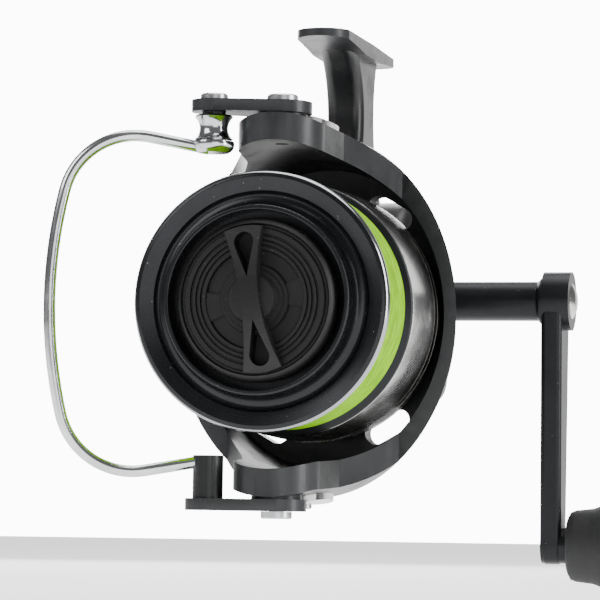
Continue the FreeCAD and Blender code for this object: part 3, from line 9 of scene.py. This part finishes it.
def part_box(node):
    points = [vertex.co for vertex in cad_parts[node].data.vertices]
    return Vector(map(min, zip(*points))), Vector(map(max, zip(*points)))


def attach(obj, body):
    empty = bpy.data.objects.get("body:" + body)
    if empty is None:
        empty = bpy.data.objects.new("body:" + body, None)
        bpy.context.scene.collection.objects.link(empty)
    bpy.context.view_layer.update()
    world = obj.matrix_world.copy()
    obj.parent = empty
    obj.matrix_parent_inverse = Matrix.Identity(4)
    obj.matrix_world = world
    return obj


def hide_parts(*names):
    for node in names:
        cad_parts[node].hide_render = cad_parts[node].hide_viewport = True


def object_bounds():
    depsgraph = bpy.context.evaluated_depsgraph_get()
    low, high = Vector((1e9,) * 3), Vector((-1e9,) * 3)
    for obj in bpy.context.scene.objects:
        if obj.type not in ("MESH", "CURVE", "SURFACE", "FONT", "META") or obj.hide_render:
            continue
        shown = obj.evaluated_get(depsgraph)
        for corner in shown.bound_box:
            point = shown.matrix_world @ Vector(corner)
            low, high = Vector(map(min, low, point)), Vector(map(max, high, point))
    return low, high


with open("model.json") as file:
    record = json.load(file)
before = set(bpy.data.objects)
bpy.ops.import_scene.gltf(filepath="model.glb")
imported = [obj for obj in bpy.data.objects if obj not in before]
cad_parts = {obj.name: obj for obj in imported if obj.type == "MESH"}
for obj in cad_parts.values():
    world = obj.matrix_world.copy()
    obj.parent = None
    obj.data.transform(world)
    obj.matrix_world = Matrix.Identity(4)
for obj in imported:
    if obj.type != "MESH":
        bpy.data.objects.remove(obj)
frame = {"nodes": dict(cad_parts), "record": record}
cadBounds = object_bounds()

nodes = frame["nodes"]
lipLow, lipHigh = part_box("spool_lip")
axisZ = (lipLow.z + lipHigh.z) / 2          # height of the spool's axis
mm = 0.001
print("frame loaded,", len(nodes), "CAD nodes")


# Value stands for one socket, so that sums on it add Math nodes.
class Value:
    def __init__(self, graph, socket):
        self.graph = graph
        self.socket = socket

    def math(self, operation, *others):
        return self.graph.make("ShaderNodeMath", {"operation": operation}, dict(enumerate((self,) + others)))

    def flipped(self, operation, other):
        return self.graph.make("ShaderNodeMath", {"operation": operation}, {0: other, 1: self})

    def __add__(self, other):
        return self.math("ADD", other)

    def __radd__(self, other):
        return self.flipped("ADD", other)

    def __sub__(self, other):
        return self.math("SUBTRACT", other)

    def __rsub__(self, other):
        return self.flipped("SUBTRACT", other)

    def __mul__(self, other):
        return self.math("MULTIPLY", other)

    def __rmul__(self, other):
        return self.flipped("MULTIPLY", other)

    def __truediv__(self, other):
        return self.math("DIVIDE", other)

    def smooth(self, low, high):            # 0 below low, 1 above high, a soft step between
        return self.graph.make("ShaderNodeMapRange", {"interpolation_type": "SMOOTHSTEP"},
                               {"Value": self, "From Min": low, "From Max": high})


# A node tree: make() adds any node, and the rest are short names for what the finishes share.
class Graph:
    def __init__(self, tree):
        self.tree = tree

    def make(self, kind, settings=None, links=None, output=0):
        node = self.tree.nodes.new(kind)
        for key, value in (settings or {}).items():
            setattr(node, key, value)
        for key, value in (links or {}).items():
            self.feed(node.inputs[key], value)
        if isinstance(output, tuple):
            return [Value(self, node.outputs[i]) for i in output]
        return Value(self, node.outputs[output])

    def feed(self, socket, value):
        if isinstance(value, Value):
            self.tree.links.new(value.socket, socket)
        elif socket.type == "RGBA" and len(value) == 3:
            socket.default_value = (*value, 1.0)
        else:
            socket.default_value = value

    def place(self):
        return self.make("ShaderNodeTexCoord", output=3)

    def axes(self, place):
        return self.make("ShaderNodeSeparateXYZ", None, {0: place}, (0, 1, 2))

    def noise(self, place, size, detail=3.0, rough=0.55, stretch=(1.0, 1.0, 1.0)):   # blobs of size metres
        scaled = self.make("ShaderNodeMapping", None, {"Vector": place, "Scale": stretch})
        return self.make("ShaderNodeTexNoise", None, {"Vector": scaled, "Scale": 1.0 / size, "Detail": detail,
                                                     "Roughness": rough})

    def lines(self, along):                 # random lines, one to each unit of along
        return self.make("ShaderNodeTexNoise", {"noise_dimensions": "1D"},
                         {"W": along, "Detail": 2.0, "Scale": 1.0})

    def specks(self, place, size, share):   # round dots that fill about this share of each cell
        cells = self.make("ShaderNodeTexVoronoi", None, {"Vector": place, "Scale": 1.0 / size})
        return 1 - cells.smooth(share * 0.6, share)

    def blend(self, factor, first, second):
        return self.make("ShaderNodeMix", {"data_type": "RGBA"}, {0: factor, 6: first, 7: second}, 2)

    def bump(self, height, strength, distance):
        return self.make("ShaderNodeBump", None,
                         {"Height": height, "Strength": strength, "Distance": distance})

    def edges(self, low, high):             # 1 on sharp outer edges
        return self.make("ShaderNodeNewGeometry", output=7).smooth(low, high)


class Finish(Graph):                        # one material with a principled shader
    def __init__(self, name):
        self.material = bpy.data.materials.new(name)
        self.material.use_nodes = True
        super().__init__(self.material.node_tree)
        self.shader = self.tree.nodes["Principled BSDF"]

    def finish(self, **sockets):
        for key, value in sockets.items():
            self.feed(self.shader.inputs[key.replace("_", " ")], value)
        return self.material


def radiusFromAxis(f, place):
    x, y, z = f.axes(place)
    up = z - axisZ
    return (x * x + up * up).math("SQRT"), y


def shaded(colour, share):
    return tuple(c * share for c in colour)


paint = {
    "dark": (0.0045, 0.0048, 0.0055),
    "light": (0.010, 0.0104, 0.0114),
    "edge": (0.045, 0.047, 0.051),          # metal flakes, and the painted highlight on sharp edges
    "cloudSize": 0.018,
    "flakeSize": 0.00022,
    "peelSize": 0.0011,                     # orange peel of the sprayed coat
    "handledSize": 0.007,
    "roughness": 0.36,
    "specular": 0.32,
    "coat": 0.12,
    "coatRoughness": 0.22,
    "bump": (0.12, 0.0002),
}


def charcoalPaint(name, tone=1.0):
    f = Finish(name)
    place = f.place()
    cloud = f.noise(place, paint["cloudSize"], 4.0)
    flake = f.specks(place, paint["flakeSize"], 0.22)
    peel = f.noise(place, paint["peelSize"], 2.0)
    colour = f.blend(cloud.smooth(0.3, 0.7), shaded(paint["dark"], tone), shaded(paint["light"], tone))
    colour = f.blend(flake * 0.35, colour, paint["edge"])
    # painted highlight: sharp outer edges are lightened towards the edge colour
    colour = f.blend(f.edges(0.52, 0.62) * 0.5, colour, paint["edge"])
    handled = f.noise(place, paint["handledSize"], 5.0, 0.65).smooth(0.45, 0.75)
    return f.finish(Base_Color=colour, Roughness=paint["roughness"] + handled * 0.14 - flake * 0.08,
                    Metallic=0.15, Specular_IOR_Level=paint["specular"], Coat_Weight=paint["coat"],
                    Coat_Roughness=paint["coatRoughness"], Normal=f.bump(peel + flake * 0.3, *paint["bump"]))


anodised = {
    "dark": (0.0075, 0.0082, 0.0095),
    "light": (0.015, 0.0165, 0.019),
    "dust": (0.35, 0.35, 0.36),
    "rings": 0.00016,                       # pitch of the turning marks
    "metallic": 0.55,
    "specular": 0.38,
    "cloudSize": 0.012,
    "grainSize": 0.0003,
    "gritSize": 0.00025,
    "dustSize": 0.0021,
    "bump": (0.1, 0.00006),
}


def charcoalAnodised(name, turned=True, roughness=0.3):
    f = Finish(name)
    place = f.place()
    cloud = f.noise(place, anodised["cloudSize"], 3.0)
    if turned:
        radius, y = radiusFromAxis(f, place)
        lines = f.lines((radius + y * 0.7) / anodised["rings"])
    else:
        lines = f.noise(place, anodised["grainSize"], 2.0, stretch=(1.0, 1.0, 0.08))
    grit = f.noise(place, anodised["gritSize"], 2.0)
    colour = f.blend(cloud.smooth(0.3, 0.7) * 0.6 + lines * 0.4, anodised["dark"], anodised["light"])
    dust = f.specks(place, anodised["dustSize"], 0.055)
    colour = f.blend(dust * 0.5, colour, anodised["dust"])
    return f.finish(Base_Color=colour, Metallic=anodised["metallic"],
                    Roughness=roughness + lines * 0.08 + dust * 0.2, Specular_IOR_Level=anodised["specular"],
                    Normal=f.bump(lines * 0.6 + grit * 0.4, *anodised["bump"]))


polish = {
    "shade": 0.72,                          # colour of smeared spots, as a share of the clean colour
    "smearSize": 0.009,
    "fineSize": 0.0006,
    "bump": (0.08, 0.00005),
}


def polishedMetal(name, colour, roughness, lineSize, scratch=0.5):
    f = Finish(name)
    place = f.place()
    radius, y = radiusFromAxis(f, place)
    lines = f.lines((radius * 0.8 + y) / lineSize)
    smear = f.noise(place, polish["smearSize"], 4.0, 0.6)
    fine = f.noise(place, polish["fineSize"], 2.0, stretch=(1.0, 0.1, 1.0))
    tint = f.blend(smear.smooth(0.3, 0.75), shaded(colour, polish["shade"]), colour)
    strength, distance = polish["bump"]
    return f.finish(Base_Color=tint, Metallic=1.0,
                    Roughness=roughness + lines * 0.06 * scratch + smear.smooth(0.45, 0.8) * 0.1,
                    Normal=f.bump(lines * 0.7 + fine * 0.3, strength * scratch, distance))


plastic = {
    "colour": (0.0032, 0.0032, 0.0035),
    "dust": (0.3, 0.3, 0.3),
    "roughness": 0.46,
    "specular": 0.3,
    "grainSize": 0.00022,
    "cloudSize": 0.006,
    "dustSize": 0.0017,
    "bump": (0.22, 0.00006),
}


def mouldedPlastic(name):
    f = Finish(name)
    place = f.place()
    grain = f.noise(place, plastic["grainSize"], 3.0, 0.6)
    cloud = f.noise(place, plastic["cloudSize"], 4.0)
    dust = f.specks(place, plastic["dustSize"], 0.05)
    tint = f.blend(cloud.smooth(0.35, 0.75) * 0.6, plastic["colour"], shaded(plastic["colour"], 1.9))
    # painted highlight: sharp outer edges are lightened to four times the plastic colour
    tint = f.blend(f.edges(0.52, 0.6) * 0.45, tint, shaded(plastic["colour"], 4.0))
    tint = f.blend(dust * 0.45, tint, plastic["dust"])
    return f.finish(Base_Color=tint, Roughness=plastic["roughness"] + cloud * 0.14 - 0.05,
                    Specular_IOR_Level=plastic["specular"], Normal=f.bump(grain, *plastic["bump"]))


rubber = {"poreSize": 0.0005, "wearSize": 0.011, "roughness": 0.62, "bump": (0.35, 0.00015)}


def softRubber(name, colour):
    f = Finish(name)
    place = f.place()
    pores = f.noise(place, rubber["poreSize"], 3.0, 0.7)
    wear = f.noise(place, rubber["wearSize"], 4.0)
    tint = f.blend(wear.smooth(0.4, 0.7), colour, shaded(colour, 1.7))
    tint = f.blend(pores.smooth(0.62, 0.8) * 0.4, tint, shaded(colour, 3.0))
    return f.finish(Base_Color=tint, Roughness=rubber["roughness"] + wear * 0.16,
                    Normal=f.bump(pores, *rubber["bump"]))


casting = {
    "colour": (0.42, 0.43, 0.45),
    "roughness": 0.36,
    "metallic": 0.9,
    "grainSize": 0.0004,
    "stainSize": 0.006,
    "bump": (0.25, 0.0001),
}


def castMetal(name):
    f = Finish(name)
    place = f.place()
    grain = f.noise(place, casting["grainSize"], 4.0, 0.65)
    stain = f.noise(place, casting["stainSize"], 4.0)
    tint = f.blend(stain.smooth(0.35, 0.75), shaded(casting["colour"], 0.65), casting["colour"])
    return f.finish(Base_Color=tint, Metallic=casting["metallic"],
                    Roughness=casting["roughness"] + grain * 0.2, Normal=f.bump(grain, *casting["bump"]))


cloth = {
    "dry": (0.05, 0.045, 0.035),
    "greased": (0.015, 0.014, 0.012),
    "thread": 0.0004,
    "soakSize": 0.004,
    "bump": (0.4, 0.0001),
}


def frictionCloth(name):
    f = Finish(name)
    place = f.place()
    x, _, z = f.axes(place)
    weave = (x / cloth["thread"]).math("SINE") * (z / cloth["thread"]).math("SINE")
    soak = f.noise(place, cloth["soakSize"], 3.0)
    return f.finish(Base_Color=f.blend(soak, cloth["greased"], cloth["dry"]), Roughness=0.7 - soak * 0.25,
                    Normal=f.bump(weave, *cloth["bump"]))


braid = {
    "bright": (0.29, 0.64, 0.0),
    "deepAndCreaseShade": (0.13, 0.31, 0.0),              # random darker patches, and the painted shade in the creases between turns
    "crownHighlight": (0.42, 0.80, 0.0),              # painted highlight on the crowns of the woven strands
    # painted glow: the line emits light of this colour, though it is no lamp
    "glow": (0.34, 0.8, 0.0),
    "paintedGlowStrength": 0.11,
    "specular": 0.02,
    "pitch": 0.0005,                        # from one turn to the next
    "pickPitch": 0.00035,                   # from one crossing of the weave to the next
    "picksAround": 210.0,
    "patchSize": 0.004,
    "bump": (0.35, 0.00012),
}


def braidedLine(name):
    f = Finish(name)
    place = f.place()
    x, y, z = f.axes(place)
    angle = (z - axisZ).math("ARCTAN2", x)
    strands = (y / braid["pitch"] * 6.283 + angle * 2.0).math("SINE")
    picks = (angle * braid["picksAround"] + y / braid["pickPitch"]).math("SINE")
    patch = f.noise(place, braid["patchSize"], 3.0, stretch=(1.0, 3.0, 1.0))
    crease = strands.smooth(-1.0, -0.2)
    crown = strands.smooth(0.5, 1.0) * picks.smooth(0.2, 1.0)
    colour = f.blend(patch.smooth(0.3, 0.75), braid["deepAndCreaseShade"], braid["bright"])
    # painted shade: the creases between turns are darkened
    colour = f.blend(crease, braid["deepAndCreaseShade"], colour)
    # painted highlight: the crowns of the strands are lightened
    colour = f.blend(crown * 0.4, colour, braid["crownHighlight"])
    return f.finish(Base_Color=colour, Roughness=0.66 - crease * 0.1, Specular_IOR_Level=braid["specular"],
                    # painted glow: emission makes the line brighter and more saturated
                    Emission_Color=braid["glow"], Emission_Strength=braid["paintedGlowStrength"],
                    Normal=f.bump(strands * 0.7 + picks * 0.3, *braid["bump"]))


def paintNode(node, material):
    for holder in node.material_slots:
        holder.material = material


finishes = {
    "charcoal_body": charcoalPaint("bodyPaint"),
    "charcoal_rotor": charcoalPaint("rotorPaint", 0.8),
    "black_plastic": mouldedPlastic("blackPlastic"),
    "charcoal_anodised": charcoalAnodised("charcoalAnodised"),
    "gunmetal_gloss": polishedMetal("gunmetal", (0.66, 0.655, 0.64), 0.17, 0.00035, 0.35),
    "yellow_line": braidedLine("braidedLine"),
    "steel": polishedMetal("groundSteel", (0.62, 0.63, 0.65), 0.26, 0.00012),
    "bright_wire": polishedMetal("brightWire", (0.7, 0.71, 0.73), 0.14, 0.0003),
    "brass_gear": polishedMetal("machinedBrass", (0.66, 0.47, 0.2), 0.24, 0.00015),
    "zinc_gear": castMetal("castZinc"),
    "felt_washer": frictionCloth("frictionCloth"),
    "rubber_seal": softRubber("sealRubber", (0.012, 0.012, 0.012)),
    "grip_rubber": softRubber("gripRubber", (0.011, 0.011, 0.012)),
    "bearing_steel": polishedMetal("bearingSteel", (0.66, 0.67, 0.69), 0.2, 0.0001),
}
for part in frame["record"]["subparts"]:
    paintNode(nodes[part["node"]], finishes[part["material_slot"]])
handleMetal = charcoalAnodised("handleAnodised", turned=False, roughness=0.33)
for name in ("handle_arm", "handle_shank"):
    paintNode(nodes[name], handleMetal)
print("finishes made:", len(finishes) + 1)


lip = {
    "plane": 4.9 * mm,                      # from the front of the raised ring back to the flat face
    "bevelWidth": 0.5 * mm,
    # painted highlight: colour of the lighter band on the bevel
    "glintColour": (0.34, 0.35, 0.36),
    "bevelDepth": 0.7 * mm,
    "blur": (0.1 * mm, 0.05 * mm),          # width of the colour change, along the axis and across it
    "dust": (0.4, 0.4, 0.41),
    "dustSize": 0.0023,
    "cloudSize": 0.011,
    "roughness": 0.24,
    "bump": (0.07, 0.00005),
}


def lipFinish():                            # anodised face, with a lighter metal band on the outer bevel: a painted highlight for the glints on the rounded rim
    f = Finish("lipAnodised")
    place = f.place()
    radius, y = radiusFromAxis(f, place)
    lines = f.lines(radius / anodised["rings"])
    bevelEnd = lipLow.y + lip["plane"] + lip["bevelDepth"]
    bevelInner = lipHigh.x - lip["bevelWidth"]
    front = 1 - y.smooth(bevelEnd, bevelEnd + lip["blur"][0])
    # painted highlight: the band in front of bevelEnd and outside bevelInner
    glintBand = front * radius.smooth(bevelInner - lip["blur"][1], bevelInner)
    cloud = f.noise(place, lip["cloudSize"], 3.0)
    dust = f.specks(place, lip["dustSize"], 0.05)
    face = f.blend(cloud.smooth(0.3, 0.7) * 0.6 + lines * 0.4, anodised["dark"], anodised["light"])
    face = f.blend(dust * 0.6, face, lip["dust"])
    return f.finish(Base_Color=f.blend(glintBand, face, lip["glintColour"]),
                    Metallic=anodised["metallic"] + glintBand * (1 - anodised["metallic"]),
                    Roughness=lip["roughness"] + lines * 0.07 - glintBand * 0.1,
                    Normal=f.bump(lines, *lip["bump"]))


paintNode(nodes["spool_lip"], lipFinish())
print("lip finished")


def newPiece(name, verts, faces, body, slotName, *replaced):
    mesh = bpy.data.meshes.new(name)
    mesh.from_pydata(verts, [], faces)
    mesh.validate()
    piece = bpy.data.objects.new(name, mesh)
    bpy.context.scene.collection.objects.link(piece)
    tidy = bmesh.new()
    tidy.from_mesh(mesh)
    bmesh.ops.recalc_face_normals(tidy, faces=tidy.faces)
    tidy.to_mesh(mesh)
    tidy.free()
    mesh.materials.append(finishes[slotName])
    for face in mesh.polygons:
        face.use_smooth = True
    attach(piece, body)
    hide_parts(*replaced)
    return piece


# A closed ring of faces: the profile goes round in turns steps, and spot(i, j) gives each vertex.
def latheGrid(profile, turns, spot):
    count = len(profile)
    verts = [spot(i, j) for j in range(turns) for i in range(count)]
    faces = []
    for j in range(turns):
        k = (j + 1) % turns
        for i in range(count):
            n = (i + 1) % count
            faces.append((j * count + i, j * count + n, k * count + n, k * count + i))
    return verts, faces


winding = {
    "strand": 0.5 * mm,                     # width of one turn of line
    "relief": 0.085 * mm,                   # height of a turn above the gaps beside it
    "perStrand": 5,                         # vertices across one turn
    "around": 420,
    "cross": 3.0,                           # turns that the lay moves along in one lap
    "under": (0.8, 0.15),                   # height and sink of the turns that cross below
    "underSwap": 0.2,
    "swaps": ((3.0, 0.21, 0.5), (7.0, -0.4, 0.2)),   # waves in a lap, shift for each turn, size
    "lump": (2.0, 0.06, 0.4),
    "edge": 0.9 * mm,                       # width of the rounded ends
    "slump": 0.18 * mm,                     # how far the ends sink
    "depth": 9.7 * mm,                      # from the line's surface down to the drum
}


def wave(angle, along, shape):
    around, shift, size = shape
    return size * math.sin(angle * around + along * shift)


def woundLine():
    low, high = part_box("line_pack")
    outer = high.x - winding["relief"]
    inner = outer - winding["depth"]
    front, rear = low.y, high.y
    steps = int((rear - front) / winding["strand"] * winding["perStrand"])
    profile = [(inner, front)] + [(outer, front + (rear - front) * (k + 0.5) / steps) for k in range(steps)]
    profile.append((inner, rear))

    def spot(i, j):
        radius, y = profile[i]
        angle = 2 * math.pi * j / winding["around"]
        if radius == outer:
            along = (y - front) / winding["strand"]
            shift = winding["cross"] * angle / (2 * math.pi)
            over = abs(math.cos(math.pi * (along + shift)))
            height, sink = winding["under"]
            under = abs(math.cos(math.pi * (along - shift))) * height - sink
            swap = sum(wave(angle, along, shape) for shape in winding["swaps"])
            raised = max(over - max(0.0, -swap), under + max(0.0, swap) * winding["underSwap"])
            radius += winding["relief"] * raised
            edge = min(y - front, rear - y)
            if edge < winding["edge"]:
                radius -= winding["slump"] * (1 - edge / winding["edge"]) ** 2
            radius += winding["relief"] * wave(angle, along, winding["lump"])
        return (radius * math.cos(angle), y, axisZ + radius * math.sin(angle))

    verts, faces = latheGrid(profile, winding["around"], spot)
    return newPiece("woundLine", verts, faces, "spool", "yellow_line", "line_pack")


woundLine()
print("line wound")


# The outline gives each corner's share of the length and of the largest radius.
gripShape = {
    "around": 144,
    "outline": [(0.0, 0.37), (0.0, 0.52), (0.02, 0.61), (0.06, 0.645), (0.12, 0.66), (0.19, 0.68),
                (0.27, 0.75), (0.36, 0.85), (0.46, 0.93), (0.56, 0.98), (0.66, 1.0), (0.75, 0.985),
                (0.83, 0.945), (0.90, 0.88), (0.955, 0.79), (0.985, 0.70), (1.0, 0.64), (1.0, 0.505),
                (0.93, 0.5), (0.93, 0.37)],
    "fineAbove": 0.6,                       # outer corners get more points between them
    "finePoints": 5,
    "coarsePoints": 2,
    "skinAbove": 0.66,                      # only the outer skin has flutes and ribs
    "hold": (0.24, 0.7),                    # where they start along the grip, and over what length
    "flutes": 9,
    "fluteDepth": 0.75 * mm,
    "fluteSharpness": 3,
    "ribs": 22,
    "ribDepth": 0.28 * mm,
}


def gripSkin():
    low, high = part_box("grip")
    centreY, centreZ = (low.y + high.y) / 2, (low.z + high.z) / 2
    most = (high.z - low.z) / 2
    length = high.x - low.x
    outline = gripShape["outline"]
    fine = []
    for (t0, r0), (t1, r1) in zip(outline, outline[1:] + outline[:1]):
        outside = min(r0, r1) > gripShape["fineAbove"]
        points = gripShape["finePoints"] if outside else gripShape["coarsePoints"]
        for k in range(points):
            fine.append((t0 + (t1 - t0) * k / points, r0 + (r1 - r0) * k / points))
    holdFrom, holdLength = gripShape["hold"]

    def spot(i, j):
        t, r = fine[i]
        angle = 2 * math.pi * j / gripShape["around"]
        radius = r * most
        if r > gripShape["skinAbove"]:
            hold = max(0.0, math.sin(math.pi * min(1.0, max(0.0, (t - holdFrom) / holdLength))))
            groove = max(0.0, math.cos(gripShape["flutes"] * angle)) ** gripShape["fluteSharpness"]
            rib = 0.5 - 0.5 * math.cos(2 * math.pi * t * gripShape["ribs"])
            radius -= gripShape["fluteDepth"] * groove * hold
            radius -= gripShape["ribDepth"] * rib * (1 - groove) * hold
        return (low.x + t * length, centreY + radius * math.cos(angle), centreZ + radius * math.sin(angle))

    verts, faces = latheGrid(fine, gripShape["around"], spot)
    return newPiece("gripSkin", verts, faces, "grip", "grip_rubber", "grip")


gripSkin()
print("grip made")


sharpAngle = 32                             # degrees: a steeper edge stays crisp


def softenShading():
    for node in nodes.values():
        for face in node.data.polygons:
            face.use_smooth = True
        node.data.set_sharp_from_angle(angle=math.radians(sharpAngle))


softenShading()
print("shading softened")


def placed(name, data, location, target=None):
    thing = bpy.data.objects.new(name, data)
    bpy.context.scene.collection.objects.link(thing)
    thing.location = location
    if target is not None:
        toward = Vector(target) - Vector(location)
        thing.rotation_euler = toward.to_track_quat("-Z", "Y").to_euler()
    return thing


stage = {
    "gap": 3.0 * mm,                        # below the lowest point of the reel
    "radius": 3.0,
    "rings": 6,
    "around": 48,
    "colour": (0.9, 0.9, 0.9),
    "shade": 0.985,
    "grainSize": 0.02,
    "glow": 1.4,
}


def floorFinish():
    f = Finish("paleFloor")
    grain = f.noise(f.place(), stage["grainSize"], 3.0)
    colour = f.blend(grain, shaded(stage["colour"], stage["shade"]), stage["colour"])
    return f.finish(Base_Color=colour, Roughness=0.85 + grain * 0.1, Emission_Color=colour,
                    Emission_Strength=stage["glow"])


def addStage():
    level = cadBounds[0].z - stage["gap"]
    rings, around = stage["rings"], stage["around"]
    verts, faces = [(0.0, 0.0, level)], []
    for r in range(1, rings + 1):
        reach = stage["radius"] * r / rings
        for k in range(around):
            angle = 2 * math.pi * k / around
            verts.append((reach * math.cos(angle), reach * math.sin(angle), level))
    for k in range(around):
        n = (k + 1) % around
        faces.append((0, 1 + k, 1 + n))
        for r in range(rings - 1):
            a, b = 1 + r * around, 1 + (r + 1) * around
            faces.append((a + k, b + k, b + n, a + n))
    mesh = bpy.data.meshes.new("floor")
    mesh.from_pydata(verts, [], faces)
    mesh.materials.append(floorFinish())
    floor = placed("floor", mesh, (0, 0, 0))


lights = {
    "keyLeft": {"location": (-0.55, -0.55, 0.45), "size": (0.5, 0.5), "power": 3.8},
    "stripRight": {"location": (0.75, -0.15, 0.05), "size": (0.25, 0.7), "power": 6.0},
    "overhead": {"location": (0.1, 0.05, 0.8), "size": (0.9, 0.6), "power": 7.0},
    "lowFill": {"location": (0.35, -0.8, -0.05), "size": (0.5, 0.25), "power": 0.9},
    "backRim": {"location": (-0.35, 0.75, 0.25), "size": (0.7, 0.5), "power": 6.0},
}
lightTarget = (0, -0.04, -0.066)            # near the middle of the reel

sky = {
    "seen": 12.0,                           # strength of the backdrop as the camera sees it
    "front": 0.2,                           # strength of the light from ahead and the sides
    "rear": 1.9,
    "rearSpan": (0.80, 0.93),               # how far to the rear the bright part starts and is full
    "card": (0.225, 0.971, 0.074),          # direction of a dark card that the skirt mirrors
    "cardSpan": (0.9982, 0.9990),
    "cardDark": 0.9,
}


def addLights():
    for name, one in lights.items():
        light = bpy.data.lights.new(name, "AREA")
        light.shape = "RECTANGLE"
        light.size, light.size_y = one["size"]
        light.energy = one["power"]
        placed(name, light, one["location"], lightTarget)
    world = bpy.data.worlds.new("studio")
    bpy.context.scene.world = world
    world.use_nodes = True
    g = Graph(world.node_tree)
    x, y, z = g.axes(g.make("ShaderNodeTexCoord"))
    rear = y.smooth(*sky["rearSpan"])
    cardX, cardY, cardZ = sky["card"]
    card = (x * cardX + y * cardY + z * cardZ).smooth(*sky["cardSpan"])
    lit = (sky["front"] + rear * (sky["rear"] - sky["front"])) * (1 - card * sky["cardDark"])
    seen = g.make("ShaderNodeLightPath")
    background = world.node_tree.nodes["Background"]
    g.feed(background.inputs["Color"], (1, 1, 1))
    g.feed(background.inputs["Strength"], lit + seen * (sky["seen"] - lit))


view = {
    "fromLip": (176.3 * mm, -704.8 * mm, -46.7 * mm),    # from the middle of the lip's face
    "right": (0.97294, 0.23056, 0.01535),
    "up": (0.0, -0.06645, 0.99779),
    "sensor": 36.0,
    "lens": 205.08,
    "nearest": 0.01,
}


def addCamera():
    data = bpy.data.cameras.new("camera")
    data.sensor_width = view["sensor"]
    data.lens = view["lens"]
    data.clip_start = view["nearest"]
    camera = placed("camera", data, (0, 0, 0))
    right, up = Vector(view["right"]).normalized(), Vector(view["up"])
    up = (up - right * up.dot(right)).normalized()
    back = right.cross(up)
    lipCentre = Vector((0, lipLow.y + lip["plane"], axisZ))
    turn = Matrix((right, up, back)).transposed().to_4x4()
    camera.matrix_world = Matrix.Translation(lipCentre + Vector(view["fromLip"])) @ turn
    bpy.context.scene.camera = camera


addStage()
addLights()
addCamera()
print("stage, lights and camera set")
